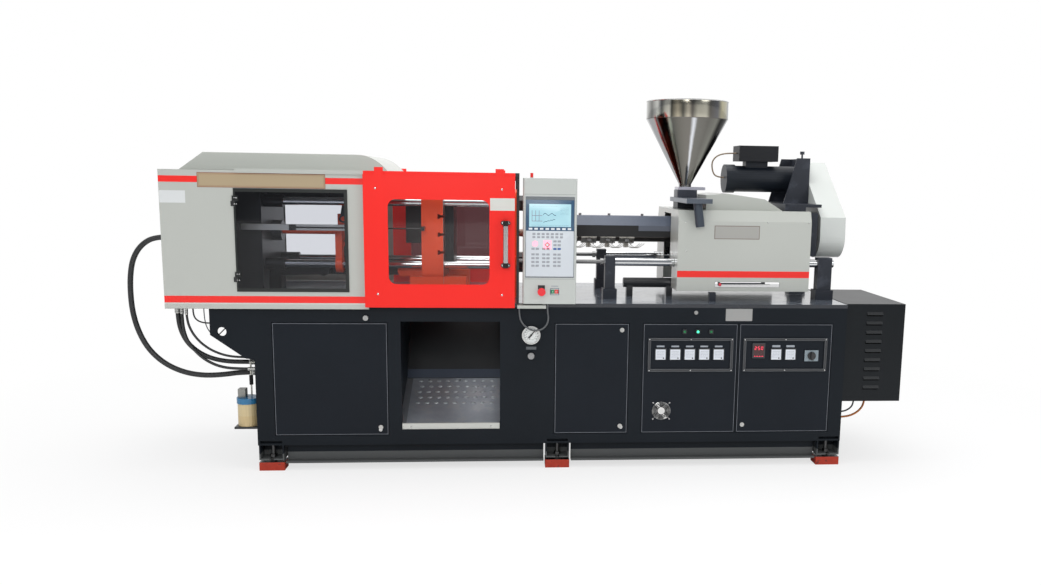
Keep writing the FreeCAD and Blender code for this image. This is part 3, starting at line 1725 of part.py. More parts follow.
cable_gland = hexagon("z", (-33, panel_y[0] + 12), 7, (panel_z[0] - 4, panel_z[0] + 5))
piece(
    "controller_cabinet",
    fuse(cut(panel_box, recess, stop_hole, rocker_room, rocker_holes, pivot_socket), shutter, cable_gland),
)
stop_button = fuse(
    drum("y", stop_at, d.stop_radius, (panel_y[0] - d.stop_height, panel_y[0] - 10), 24),
    rod("y", stop_at, d.stop_stem, (panel_y[0] - 11, panel_y[0] + 40)),
)
piece("emergency_stop", stop_button)
half_rocker = d.rocker_width / 2
rocker_outline = [
    (d.rocker_x - half_rocker, panel_y[0] - 5),
    (d.rocker_x, panel_y[0] - 1),
    (d.rocker_x + half_rocker, panel_y[0] - 5),
    (d.rocker_x + half_rocker - 3, panel_y[0] + d.rocker_depth - 3),
    (d.rocker_x - half_rocker + 3, panel_y[0] + d.rocker_depth - 3),
]
rocker_z = (d.button_row - d.rocker_height / 2, d.button_row + d.rocker_height / 2)
rocker = fuse(
    prism("xy", rocker_outline, rocker_z),
    rod("z", (d.rocker_x, rocker_pin_y), 3, (rocker_z[0] - 5, rocker_z[1] + 5)),
)
piece("power_rocker", rocker)


# ---------------------------------------------------------------- injection unit: guide rods, stands
rod_spots = ((-rod_y, d.rod_z), (rod_y, d.rod_z))
guides = []
for spot in rod_spots:
    guides.append(
        fuse(
            rod("x", spot, d.rod_radius, (d.rod_left, d.rod_right)),
            drum("x", spot, d.rod_nose_radius, (stationary_x[1], d.rod_left)),
            hexagon("x", spot, 21, (d.rod_left - 26, d.rod_left - 6)),
        )
    )
piece("guide_rods", group(*guides))


def pedestal(x, y, top):
    """A stand that carries one guide rod."""
    half = d.pedestal_depth / 2
    wide = half + d.pedestal_foot_lap
    foot_top = table_top_z + d.pedestal_foot_height
    stand = fuse(
        block(
            (x[0] - d.pedestal_foot_lap, x[1] + d.pedestal_foot_lap),
            (y - wide, y + wide),
            (table_top_z, foot_top),
        ),
        block(x, (y - half, y + half), (foot_top, top)),
    )
    return cut(stand, drum("x", (y, d.rod_z), around(d.rod_radius + d.seat_gap), (x[0] - 1, x[1] + 1)))


front_stand_x = (d.pedestal_left + 6, d.pedestal_left + d.pedestal_width)
rear_stand_x = (d.rear_pedestal_left, d.rear_pedestal_left + d.rear_pedestal_width)
stands = [pedestal(x, y, d.rod_z + 38) for x in (front_stand_x, rear_stand_x) for y in (-rod_y, rod_y)]
stop_post = block((1012, 1053), (-430, -395), (table_top_z, 1090))
piece("rod_pedestals", group(*stands, stop_post))

# ---------------------------------------------------------------- carriage with the injection cylinders
carriage_x = (d.carriage_left, d.carriage_left + d.carriage_length)
beam_band = (d.beam_low, d.beam_high)
cover_inner = d.inj_cover_front - d.guard_sheet
carriage_block = fuse(
    block(carriage_x, (-d.carriage_half_width, d.carriage_half_width), (d.beam_high - 10, d.carriage_top)),
    block(carriage_x, (-d.beam_half_width, d.beam_half_width), beam_band),
    *on_both_sides(carriage_x, (d.beam_half_width, cover_inner), (d.rod_z - 25, d.rod_z + 25)),
    block(
        (d.carriage_left, d.carriage_left + 30),
        (d.pull_y - 28, d.pull_y + 28),
        (d.pull_z - 28, d.beam_low + 1),
    ),
)
hopper_spot = (d.hopper_x, 0)
carriage_cuts = [
    axis_drum(d.barrel_radius + d.seat_gap, (carriage_x[0] - 1, carriage_x[1] + 1)),
    drum("z", hopper_spot, d.throat_radius, (d.clamp_axis, d.carriage_top + 1)),
]
for spot in rod_spots:
    carriage_cuts.append(
        rod("x", spot, d.rod_radius + d.running_gap, (carriage_x[0] - 1, carriage_x[1] + 1))
    )
carriage_body = cut(carriage_block, *carriage_cuts)
cylinder_x = (carriage_x[1], carriage_x[1] + d.inject_cylinder_length)
cylinders = []
for y in (-d.inject_cylinder_y, d.inject_cylinder_y):
    cylinders.append(
        cut(
            drum("x", (y, d.rod_z), d.inject_cylinder_radius, cylinder_x),
            drum(
                "x",
                (y, d.rod_z),
                d.inject_rod_radius + d.running_gap,
                (cylinder_x[0] + 12, cylinder_x[1] + 1),
            ),
        )
    )
pull_rod = drum("x", (d.pull_y, d.pull_z), d.pull_rod, (d.pull_left + 60, d.carriage_left))
piece("carriage", group(fuse(carriage_body, pull_rod), *cylinders))
pull_x = (d.pull_left, d.pull_left + d.pull_length)
pull_cylinder = cut(
    fuse(
        drum("x", (d.pull_y, d.pull_z), d.pull_radius, pull_x),
        block((pull_x[0] + 20, pull_x[0] + 60), (d.pull_y - 26, d.pull_y + 26), (table_top_z, d.pull_z)),
        block((pull_x[1] - 60, pull_x[1] - 20), (d.pull_y - 26, d.pull_y + 26), (table_top_z, d.pull_z)),
    ),
    drum("x", (d.pull_y, d.pull_z), d.pull_rod + d.running_gap, (pull_x[0] + 20, pull_x[1] + 1)),
)
piece("carriage_cylinder", pull_cylinder)

# ---------------------------------------------------------------- barrel, its guard and the screw
barrel_x = (d.barrel_left, d.barrel_left + d.barrel_length)
nozzle_x = (d.barrel_left - d.nozzle_length, d.barrel_left)
nozzle = funnel("x", (0, d.clamp_axis), (d.nozzle_tip, d.nozzle_base), nozzle_x, 16)
bands = []
for i in range(5):
    band_left = d.barrel_left + 40 + d.band_pitch * i
    bands.append(axis_drum(d.band_radius, (band_left, band_left + d.band_length)))
    bands.append(
        block((band_left + 35, band_left + 65), (-14, 14), (d.clamp_axis - d.band_radius - 26, d.clamp_axis))
    )
barrel = cut(
    fuse(axis_drum(d.barrel_radius, barrel_x), nozzle, *bands),
    axis_drum(around(d.barrel_bore), (d.barrel_left + 10, barrel_x[1] + 1)),
    axis_drum(3, (nozzle_x[0] - 1, d.barrel_left + 11), 6),
    drum("z", hopper_spot, d.throat_radius, (d.clamp_axis, d.clamp_axis + d.barrel_radius + 1)),
)
piece("barrel", barrel)

guard_z = (d.barrel_guard_low, d.barrel_guard_shoulder, d.barrel_guard_top)


def barrel_guard_outline():
    """Bent sheet over the barrel, open below."""
    t = d.guard_sheet
    wide, flat = d.barrel_guard_half_width, d.barrel_guard_half_top
    low, shoulder, top = guard_z
    return [
        (-wide, low),
        (-wide, shoulder),
        (-flat, top),
        (flat, top),
        (wide, shoulder),
        (wide, low),
        (wide - t, low),
        (wide - t, shoulder - 1),
        (flat - 1, top - t),
        (-flat + 1, top - t),
        (-wide + t, shoulder - 1),
        (-wide + t, low),
    ]


studs = [hexagon("z", (x, 0), 9, (guard_z[2], guard_z[2] + 14)) for x in (223, 415, 635)]
guard = fuse(prism("yz", barrel_guard_outline(), (d.barrel_guard_left, d.carriage_left)), *studs)
piece("barrel_guard", guard)

housing_x = (d.housing_beam_left, d.housing_beam_left + d.housing_length + 70)
belt_x = (d.guard_left + 28, d.guard_left + 28 + d.pulley_width)
screw = fuse(
    axis_rod(d.screw_radius, (d.barrel_left + 20, housing_x[0])),
    axis_rod(d.shaft_radius, (housing_x[0] - 1, belt_x[1])),
    axis_rod(d.screw_pulley_radius, belt_x),
)
piece("screw", screw)

# ---------------------------------------------------------------- hopper and what it slides on
saddle = block(
    (d.hopper_x - 60, d.hopper_x + 60),
    (-d.slide_plate_half_width, d.slide_plate_half_width),
    (d.carriage_top, d.slide_plate_low),
)
slide_x = (d.hopper_x - d.slide_plate_half_width, d.hopper_x + d.slide_plate_half_width)
slide_z = (d.slide_plate_low, d.slide_plate_low + d.slide_plate_thickness)
slide_plate = block(slide_x, (-d.slide_plate_front, d.slide_plate_rear), slide_z)
drain_length = d.drain_length + 20


def drain_tube(radius, longer):
    """The leaning tube under the front end of the slide plate."""
    tube = drum("z", (0, 0), radius, (-drain_length - longer, as_size(longer)))
    return leaning(tube, Vector(0, 1, 0), -8, (d.hopper_x, -d.drain_y, slide_z[0] + 14))


hopper_base = cut(
    fuse(saddle, slide_plate, drain_tube(d.drain_radius + 3, 0)),
    drum("z", hopper_spot, d.throat_radius, (d.carriage_top - 1, slide_z[1] + 1)),
    drain_tube(d.drain_radius, as_size(30)),
)
piece("hopper_base", hopper_base)

block_top = slide_z[1] + d.slide_block_height - d.slide_flange_height
neck_low = block_top + d.slide_flange_height
wall = d.hopper_sheet
rim_z = (d.hopper_rim_low, d.hopper_rim_low + d.hopper_rim_height)
cone_z = (d.hopper_neck_z, d.hopper_rim_low)
HOPPER_SIDES = 48


def hopper_form(inset):
    """Neck, cone and rim band, smaller by the sheet's thickness for the inside."""
    neck, wide = d.hopper_neck_radius - inset, d.hopper_radius - inset
    beyond = as_size(0) if inset.value == 0 else as_size(1)
    return fuse(
        drum("z", hopper_spot, neck, (neck_low - beyond, cone_z[0]), HOPPER_SIDES),
        funnel("z", hopper_spot, (neck, wide), cone_z, HOPPER_SIDES),
        drum("z", hopper_spot, wide, (rim_z[0], rim_z[1] + beyond), HOPPER_SIDES),
    )


cone = cut(hopper_form(as_size(0)), hopper_form(wall))
slide_block = cut(
    block(
        (d.hopper_x - d.slide_block_half + 10, d.hopper_x + d.slide_block_half),
        (-d.slide_block_half, d.slide_block_half),
        (slide_z[1], block_top),
    ),
    drum("z", hopper_spot, d.throat_radius, (slide_z[1] - 1, block_top + 1)),
)
base_flange = cut(
    block(
        (d.hopper_x - 56, d.hopper_x + 124),
        (-d.slide_block_half, d.slide_block_half),
        (block_top, neck_low),
    ),
    drum("z", hopper_spot, d.hopper_neck_radius - wall, (block_top - 1, neck_low + 1), HOPPER_SIDES),
)
piece("hopper", group(slide_block, base_flange, cone))

# ---------------------------------------------------------------- injection housing and drive
bracket_x = (d.bracket_left, d.bracket_left + d.bracket_thickness)
motor_at = (d.motor_y, d.motor_z)
plate_y = (d.motor_y - 180, d.motor_y + 200)
bracket_floor = (d.bracket_base, d.bracket_base + 20)
rib_outline = [
    (1632, bracket_floor[1]),
    (bracket_x[0], bracket_floor[1]),
    (bracket_x[0], d.bracket_top),
    (1714, d.bracket_top),
]
ribs = [prism("xz", rib_outline, (y, y + 12)) for y in (plate_y[0], plate_y[1] - 12)]
housing_block = fuse(
    block(
        (housing_x[0], housing_x[0] + d.housing_beam_length),
        (-d.beam_half_width, d.beam_half_width),
        beam_band,
    ),
    block(housing_x, (-d.housing_half_width, d.housing_half_width), (d.housing_low, d.housing_top)),
    block((1560, 1700), (-140, 140), (d.housing_top - 1, bracket_floor[0])),
    block((1560, bracket_x[1]), (-140, plate_y[1]), bracket_floor),
    block(bracket_x, plate_y, (bracket_floor[0], d.bracket_top)),
    *ribs,
    drum("z", (1748, plate_y[0] + 6), 6, (d.bracket_top, d.bracket_top + 25)),
    drum("z", (1748, plate_y[0] + 6), 15, (d.bracket_top + 25, d.bracket_top + 45)),
)
housing_cuts = [
    axis_rod(d.shaft_radius + d.running_gap, (housing_x[0] - 1, housing_x[1] + 1)),
    drum("x", motor_at, 30, (bracket_x[0] - 1, bracket_x[1] + 1)),
]
for spot in rod_spots:
    housing_cuts.append(
        rod(
            "x",
            spot,
            d.rod_radius + d.running_gap,
            (housing_x[0] - 1, housing_x[0] + d.housing_beam_length + 1),
        )
    )
push_rods = []
for y in (-d.inject_cylinder_y, d.inject_cylinder_y):
    push_rods.append(drum("x", (y, d.rod_z), d.inject_rod_radius, (cylinder_x[0] + 30, housing_x[0] + 1)))
pointer_y = -d.beam_half_width - 20
pointer_z = (d.scale_low + 10, d.scale_low + 22)
pointer_bar = fuse(
    block((1080, housing_x[0] + 16), (pointer_y - 6, pointer_y), pointer_z),
    block(
        (housing_x[0], housing_x[0] + 16),
        (pointer_y - 6, -d.beam_half_width + 10),
        (pointer_z[0], beam_band[0] + 40),
    ),
    block((1080, 1090), (-d.inj_cover_front - 4, pointer_y), (d.scale_low + 5, d.scale_low + 27)),
)
piece("injection_housing", fuse(cut(housing_block, *housing_cuts), *push_rods, pointer_bar))

motor_x = (d.motor_left, d.motor_right)
cap_x = (d.motor_left - d.motor_cap_length, d.motor_left)
terminal_x = (d.terminal_left, d.terminal_left + d.terminal_length)
motor = cut(
    fuse(
        drum("x", motor_at, d.motor_radius, motor_x, 32),
        drum("x", motor_at, d.motor_cap_half, cap_x, 32),
        block(
            (motor_x[1], bracket_x[0]),
            (d.motor_y - 90, d.motor_y + 90),
            (d.motor_z - 90, d.motor_z + 90),
        ),
        block(
            (terminal_x[0] + 60, terminal_x[1] - 60),
            (d.motor_y - 45, d.motor_y + 45),
            (d.motor_z, d.terminal_low + 1),
        ),
        block(
            terminal_x,
            (d.motor_y - d.terminal_half, d.motor_y + d.terminal_half),
            (d.terminal_low, d.terminal_low + d.terminal_height),
        ),
    ),
    rod("x", motor_at, d.motor_shaft + d.running_gap, (motor_x[1] - 40, bracket_x[0] + 1)),
)
piece("motor", motor)
motor_pulley = fuse(
    rod("x", motor_at, d.motor_pulley_radius, belt_x),
    rod("x", motor_at, d.motor_shaft, (motor_x[1] - 39, belt_x[1])),
)
piece("motor_pulley", motor_pulley)


def root(size):
    """Square root of a formula."""
    size = as_size(size)
    return Size(math.sqrt(size.value), f"sqrt({size.text})")


def belt_loop(extra, x):
    """The hull of both pulleys with an offset: two discs and the straight band between them."""
    big, small = d.screw_pulley_radius + extra, d.motor_pulley_radius + extra
    rise = d.motor_z - d.clamp_axis
    span = root(d.motor_y * d.motor_y + rise * rise)
    uy, uz = d.motor_y / span, rise / span
    along = (d.screw_pulley_radius - d.motor_pulley_radius) / span
    across = root(1 - along * along)
    corners = []
    for sign in (1, -1):
        ny, nz = along * uy - sign * across * uz, along * uz + sign * across * uy
        corners.append(
            ((big * ny, d.clamp_axis + big * nz), (d.motor_y + small * ny, d.motor_z + small * nz))
        )
    (big_a, small_a), (big_b, small_b) = corners
    return fuse(
        prism("yz", [big_a, small_a, small_b, big_b], x),
        axis_rod(big, x),
        rod("x", motor_at, small, x),
    )


belt_inset = (belt_x[0] + 5, belt_x[1] - 5)
belt_outer = belt_loop(d.seat_gap + d.belt_thickness, belt_inset)
belt_inner = belt_loop(d.seat_gap, (belt_inset[0] - 1, belt_inset[1] + 1))
piece("drive_belt", cut(belt_outer, belt_inner))


def guard_profile(inset, x):
    """The belt guard's outline, smaller by an inset, pushed between two planes."""
    reach = d.guard_round - inset
    outline = [
        (-reach, d.clamp_axis + 8),
        (-reach + 7, d.guard_fold - inset * 0.5),
        (d.guard_front_top + inset * 0.3, d.guard_top - inset),
        (d.guard_rear_top - inset * 0.5, d.guard_top - inset),
        (d.guard_rear - inset, d.guard_top - 50 - inset * 0.5),
        (reach * 0.81, d.clamp_axis - reach * 0.59),
    ]
    return fuse(prism("yz", outline, x), axis_drum(reach, x, 48))


back_x = (bracket_x[1], d.guard_left)
guard_x = (d.guard_left, d.guard_left + d.guard_thickness)
guard_shell = cut(
    guard_profile(as_size(0), guard_x),
    guard_profile(d.guard_sheet, (guard_x[0] - 1, guard_x[1] - d.guard_sheet)),
)
back_plate = cut(
    guard_profile(as_size(0), back_x),
    axis_drum(30, (back_x[0] - 1, back_x[1] + 1)),
    drum("x", motor_at, 30, (back_x[0] - 1, back_x[1] + 1)),
)
piece("belt_guard", group(guard_shell, back_plate))

# ---------------------------------------------------------------- cover over the injection unit
inj_x = (d.cover_left, d.cover_left + d.inj_cover_length)
t = d.guard_sheet
wide, lean = d.inj_cover_front, d.inj_cover_lean
low, bend, top = d.inj_cover_low, d.inj_cover_bend, d.inj_cover_top


def inj_cover_outline(inset, base):
    """The cover's section: upright sides, leaning strips and a flat top."""
    return [
        (-wide + inset, base),
        (-wide + inset, bend - inset * 0.3),
        (-wide + lean + inset * 0.7, top - inset),
        (wide - lean - inset * 0.7, top - inset),
        (wide - inset, bend - inset * 0.3),
        (wide - inset, base),
    ]


def lid_outline(inset, base):
    """The raised lid's side view."""
    right = d.lid_left + d.lid_flat - 100
    return [
        (d.lid_left + inset, base),
        (d.lid_left + inset, top + d.lid_height - 4 - inset),
        (d.lid_left + 140, top + d.lid_height + 6 - inset),
        (right - inset * 0.5, top + d.lid_height - 26 - inset),
        (right + 118 - inset * 1.6, base),
    ]


shell = cut(
    fuse(
        prism("yz", inj_cover_outline(as_size(0), low), inj_x),
        prism("xz", lid_outline(as_size(0), top - 1), (-d.lid_half, d.lid_half)),
    ),
    prism("yz", inj_cover_outline(t, low - 1), (inj_x[0] + t, inj_x[1] + 1)),
    prism("xz", lid_outline(t, top - t - 1), (-d.lid_half + t, d.lid_half - t)),
)
slot_x = (d.scale_left, d.scale_left + d.scale_length)
cover_cuts = [
    block((inj_x[0] - 1, inj_x[0] + t + 1), (-125, 125), (low - 1, top - 30)),
    block((inj_x[0] - 1, inj_x[0] + t + 1), (d.pull_y - 50, d.pull_y + 50), (low - 1, d.rod_z)),
    block((1504, inj_x[1] + 1), (-d.beam_half_width, d.beam_half_width), (top - 20, top + 1)),
    block((slide_x[0] - 2, slide_x[1] + 2), (-95, 95), (top - 20, top + 1)),
    block(slot_x, (-wide - 1, -wide + t + 1), (d.scale_low, d.scale_low + d.scale_height)),
]
for spot in rod_spots:
    cover_cuts.append(drum("x", spot, d.rod_radius + 6, (inj_x[0] - 1, inj_x[0] + t + 1)))
inj_plate = block((1037, 1325), (-wide - 1.5, -wide), (1424, 1508))
piece("injection_cover", group(cut(shell, *cover_cuts), inj_plate))

# ---------------------------------------------------------------- lubrication unit
oil_at = (bed_left - 73, -455)
pipe_at = (bed_left - 56, -434)
shelf = fuse(
    block((bed_left - 142, bed_left), (-522, -388), (254, 266)),
    block((bed_left - 6, bed_left), (-522, -388), (220, 266)),
)
lubricator = fuse(
    drum("z", oil_at, 62, (266, 404), 24),
    drum("z", oil_at, 66, (404, 438), 24),
    block((bed_left - 126, bed_left - 82), (-480, -430), (438, 491)),
)
oil_line = fuse(
    drum("z", pipe_at, 5, (437, 647), 8),
    hexagon("z", pipe_at, 12, (510, 568)),
    drum("x", (-434, 647), 5, (pipe_at[0], bed_left), 8),
)
piece("lubrication_unit", group(shelf, fuse(lubricator, oil_line)))

# ---------------------------------------------------------------- hoses and cables
RETURN_HOSE = [
    (machine_left.value, 1400),
    (-2350, 1400),
    (-2432, 1355),
    (-2486, 1275),
    (-2508, 1175),
    (-2514, 1060),
    (-2508, 940),
    (-2480, 822),
    (-2428, 715),
    (-2345, 630),
    (-2240, 575),
    (-2125, 551),
    (-2005, 554),
    (-1880, 572),
    (socket_left.value, 572),
]
PRESSURE_HOSE = [
    (-2226, cover_z[0].value - 12),
    (-2226, 915),
    (-2214, 838),
    (-2180, 765),
    (-2122, 708),
    (-2045, 668),
    (-1955, 649),
    (-1862, 646),
    (socket_left.value, 646),
]
PILOT_HOSE = [
    (-2188, cover_z[0].value - 10),
    (-2188, 915),
    (-2182, 839),
    (-2158, 769),
    (-2110, 704),
    (-2050, 655),
    (-1975, 622),
    (-1885, 611),
    (socket_left.value, 611),
]
DRAIN_HOSE = [
    (-2149, cover_z[0].value - 10),
    (-2149, 921),
    (-2128, 850),
    (-2083, 785),
    (-2017, 733),
    (-1935, 700),
    (-1850, 690),
    (socket_left.value, 690),
]
SIGNAL_CABLE = [
    (-2100, cover_z[0].value - 8),
    (-2100, 950),
    (-2082, 920),
    (-2050, 905),
    (-2000, 902),
    (-1920, 904),
    (-1840, 905),
    (socket_left.value, 905),
]
EARTH_CABLE = [
    (-2043, cover_z[0].value - 6),
    (-2043, 932),
    (-2031, 869),
    (-1990, 815),
    (-1920, 786),
    (-1840, 780),
    (socket_left.value, 780),
]


def at_y(y, route):
    """A route in x and z, laid in one upright plane."""
    return [(x, y, z) for x, z in route]


hoses = [
    cord(at_y(-360, RETURN_HOSE), 32),
    cord(at_y(-410, PRESSURE_HOSE), 28),
    cord(at_y(-450, PILOT_HOSE), 17),
    cord(at_y(-490, DRAIN_HOSE), 14),
]
cord_piece("hydraulic_hoses", hoses)
PANEL_LOOP = [
    (-10, d.panel_low.value - 4),
    (-10, 990),
    (-2, 945),
    (-16, 900),
    (-55, 873),
    (-105, 874),
    (-150, 900),
    (-180, 950),
    (-180, 1010),
]
DRIVE_CABLE = [(2091, 398), (2091, 350), (2062, 302), (2010, 270), (1945, 259), (1880, 259)]
SENSOR_CABLE = [(1990, 398), (1990, 362), (1966, 333), (1926, 314), (1880, 314)]
cables = [
    cord(at_y(-520, SIGNAL_CABLE), 9),
    cord(at_y(-505, EARTH_CABLE), 6),
    cord(at_y(-588, PANEL_LOOP), 10),
    cord(at_y(-350, DRIVE_CABLE), 13),
    cord(at_y(-420, SENSOR_CABLE), 10),
]
cord_piece("cables", cables)
MOTOR_CABLE = [
    (terminal_x[0].value, 1975),
    (1270, 1975),
    (1204, 1975 - 14),
    (1164, 1922),
    (1164, 1862),
    (1190, 1808),
    (cap_x[0].value, 1808),
]
cord_piece("motor_cable", [cord(at_y(320, MOTOR_CABLE), 10)])

# ---------------------------------------------------------------- check and export
doc.recompute()
for thing in doc.Objects:
    if "Invalid" in thing.State or "Error" in thing.State:
        raise RuntimeError(f"{thing.Label}: {thing.State}")
os.makedirs("parts", exist_ok=True)
for thing in PIECES:
    shape = thing.Shape
    if shape.isNull() or not shape.isValid():
        raise RuntimeError(f"{thing.Label} has no valid shape")
    shape.exportStep(f"parts/{thing.Label}.step")
print(len(PIECES), "pieces")
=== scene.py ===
"""Horizontal injection moulding machine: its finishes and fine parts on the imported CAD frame, in metres."""
import math
import bmesh
import bpy
import numpy as np
from mathutils import Matrix, Vector


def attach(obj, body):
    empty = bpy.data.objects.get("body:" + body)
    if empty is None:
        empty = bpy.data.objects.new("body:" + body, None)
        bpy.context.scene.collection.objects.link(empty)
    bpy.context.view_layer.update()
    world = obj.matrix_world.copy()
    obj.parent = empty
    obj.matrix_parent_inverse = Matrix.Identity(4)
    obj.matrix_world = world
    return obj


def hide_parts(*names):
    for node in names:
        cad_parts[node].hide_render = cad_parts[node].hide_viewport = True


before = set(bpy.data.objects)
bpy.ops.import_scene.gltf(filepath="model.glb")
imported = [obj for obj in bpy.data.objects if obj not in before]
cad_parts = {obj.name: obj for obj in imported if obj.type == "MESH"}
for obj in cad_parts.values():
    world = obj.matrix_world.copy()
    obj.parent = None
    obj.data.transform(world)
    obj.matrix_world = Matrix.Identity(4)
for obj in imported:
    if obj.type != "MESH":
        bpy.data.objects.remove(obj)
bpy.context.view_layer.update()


# ------------------------------------------------------------------ camera
# The camera stands a little left of the machine's middle, at head height, six metres from the bed,
# and looks slightly right and down.
camera = bpy.data.objects.new("camera", bpy.data.cameras.new("camera"))
bpy.context.scene.collection.objects.link(camera)
bpy.context.scene.camera = camera
camera.data.sensor_width = 36
camera.data.lens = 31.5
camera.data.shift_x = -0.066
camera.data.shift_y = 0.0248
camera.data.clip_end = 120
camera.matrix_world = (
    Matrix.Translation((-0.2336, -6.0211, 1.7934))
    @ Matrix.Rotation(math.radians(-5.014), 4, "Z")
    @ Matrix.Rotation(math.radians(90 - 8.803), 4, "X")
    @ Matrix.Rotation(math.radians(0.948), 4, "Z")
)
bpy.context.scene.view_settings.view_transform = "Standard"


# ------------------------------------------------------------------ studio
# A plain pale floor that keeps the machine's shadow, a white surround that metal and glass mirror, and
# soft lamps above, in front and to both sides.
class Wire:
    """A socket's value in a node tree. Arithmetic on wires adds the Math nodes that work it out."""

    def __init__(self, nodes, socket):
        self.nodes = nodes
        self.socket = socket

    def __add__(self, other):
        return self.nodes.maths("ADD", self, other)

    def __radd__(self, other):
        return self.nodes.maths("ADD", other, self)

    def __sub__(self, other):
        return self.nodes.maths("SUBTRACT", self, other)

    def __rsub__(self, other):
        return self.nodes.maths("SUBTRACT", other, self)

    def __mul__(self, other):
        return self.nodes.maths("MULTIPLY", self, other)

    def __gt__(self, other):
        return self.nodes.maths("GREATER_THAN", self, other)

    def __lt__(self, other):
        return self.nodes.maths("LESS_THAN", self, other)

    def within(self, low, high):
        """One where the value lies between two numbers, and zero elsewhere."""
        return (self > low) * (self < high)

    def most(self, other):
        """The larger of the two."""
        return self.nodes.maths("MAXIMUM", self, other)

    def least(self, other):
        """The smaller of the two."""
        return self.nodes.maths("MINIMUM", self, other)

    def fract(self):
        """What is left above the last whole number."""
        return self.nodes.maths("FRACT", self)

    def sine(self):
        return self.nodes.maths("SINE", self)


class Nodes:
    """The node tree of one finish."""

    def __init__(self, tree):
        self.tree = tree

    def node(self, kind, settings=None, sockets=None, out=0):
        """Adds a node: its settings or its ramp's stops first, then the values or wires of its sockets."""
        made = self.tree.nodes.new("ShaderNode" + kind)
        for name, value in (settings or {}).items():
            if name != "stops":
                setattr(made, name, value)
                continue
            while len(made.color_ramp.elements) < len(value):
                made.color_ramp.elements.new(1.0)
            for element, (spot, shade) in zip(made.color_ramp.elements, value):
                element.position = spot
                element.color = (*shade, 1)
        for name, value in (sockets or {}).items():
            self.give(made, name, value)
        return Wire(self, made.outputs[out])

    def give(self, node, socket, value):
        """Leads a wire to a socket, or sets it to a plain value. A name stands for the node that has it."""
        node = self.tree.nodes[node] if isinstance(node, str) else node
        if isinstance(value, Wire):
            self.tree.links.new(value.socket, node.inputs[socket])
        else:
            node.inputs[socket].default_value = value

    def shade(self, **sockets):
        """Sets or feeds the main shader's sockets, named with an underscore for each space."""
        for name, value in sockets.items():
            self.give("Principled BSDF", name.replace("_", " "), value)

    def maths(self, operation, *values):
        """One Math node on wires and numbers."""
        return self.node("Math", {"operation": operation}, dict(enumerate(values)))

    def mix(self, factor, low, high):
        """A colour between two others, each three numbers or a wire."""
        low, high = [c if isinstance(c, Wire) else (*c, 1) for c in (low, high)]
        return self.node("Mix", {"data_type": "RGBA"}, {0: factor, 6: low, 7: high}, out=2)

    def blend(self, factor, first, second):
        """A shader between two others."""
        return self.node("MixShader", sockets={0: factor, 1: first, 2: second})

    def square(self, x, z, middle_x, middle_z, half_x, half_z):
        """One inside a rectangle of the front plane."""
        across = x.within(middle_x - half_x, middle_x + half_x)
        return across * z.within(middle_z - half_z, middle_z + half_z)

    def reach(self, x, z):
        """The distance from the origin of a plane: the root of x squared plus z squared."""
        return self.maths("SQRT", x * x + z * z)

    def axes(self, place):
        """The x, y and z of a vector."""
        return [self.node("SeparateXYZ", sockets={0: place}, out=axis) for axis in "XYZ"]


def blank(name):
    """A new material and its node tree."""
    material = bpy.data.materials.new(name)
    material.use_nodes = True
    return material, Nodes(material.node_tree)


def link(thing):
    """Puts an object in the scene."""
    bpy.context.scene.collection.objects.link(thing)
    return thing


WHITE = (1.0, 1.0, 1.0)
surround = bpy.data.worlds.new("surround")
bpy.context.scene.world = surround
surround.use_nodes = True
sky = Nodes(surround.node_tree)
_, gaze_y, gaze_z = sky.axes(sky.node("TexCoord", out="Generated"))
# the hall behind the camera is darker than the white walls and the lit ceiling
hall_stops = [(0.0, (0.22, 0.23, 0.25)), (0.45, (0.42, 0.43, 0.45)), (0.62, (0.95, 0.95, 0.95)), (1.0, WHITE)]
hall = sky.node("ValToRGB", {"stops": hall_stops}, {0: gaze_y * 0.45 + gaze_z * 0.25 + 0.5})
seen = sky.node("LightPath", out="Is Camera Ray")
through = sky.node("LightPath", out="Is Transmission Ray")
sky.give("Background", "Color", sky.mix(seen.most(through), hall, WHITE))
sky.give("Background", "Strength", 1.0)

FLOOR_HALF = 30
ground = bpy.data.meshes.new("floor")
corners = [(FLOOR_HALF * i, FLOOR_HALF * j, 0) for i, j in ((-1, -1), (1, -1), (1, 1), (-1, 1))]
ground.from_pydata(corners, [], [(0, 1, 2, 3)])
floor = link(bpy.data.objects.new("floor", ground))
pale, cloth = blank("pale_floor")
ground.materials.append(pale)
cloth.shade(Base_Color=(0.86, 0.86, 0.86, 1), Roughness=0.9)
glow = cloth.node("Emission", sockets={"Strength": 1.0})
seen = cloth.node("LightPath", out="Is Camera Ray")
lit = Wire(cloth, pale.node_tree.nodes["Principled BSDF"].outputs[0])
# towards its edges the floor is seen as plain white; under the machine it keeps more of the shadow
place = cloth.node("TexCoord", out="Object")
away = cloth.node("VectorMath", {"operation": "LENGTH"}, {0: place}, out="Value")
share = (away * 0.12 + 0.42).most(0.7).least(1.0)
cloth.give("Material Output", "Surface", cloth.blend(seen * share, lit, glow))

for name, spot, aim, size, power in (
    ("lamp_left", (-4.5, -5.0, 4.2), (0, 0, 1.0), 3.0, 48),
    ("lamp_right", (4.8, -4.6, 3.9), (0, 0, 1.0), 3.0, 84),
    ("lamp_front", (-0.9, -6.0, 3.4), (-0.6, 0, 1.1), 2.0, 88),
    ("lamp_above", (0.3, 0.4, 5.2), (0.3, 0, 1.0), 4.0, 140),
):
    lamp = link(bpy.data.objects.new(name, bpy.data.lights.new(name, "AREA")))
    lamp.data.size = size
    lamp.data.energy = power
    turn = (Vector(spot) - Vector(aim)).to_track_quat("Z", "Y").to_matrix().to_4x4()
    lamp.matrix_world = Matrix.Translation(spot) @ turn


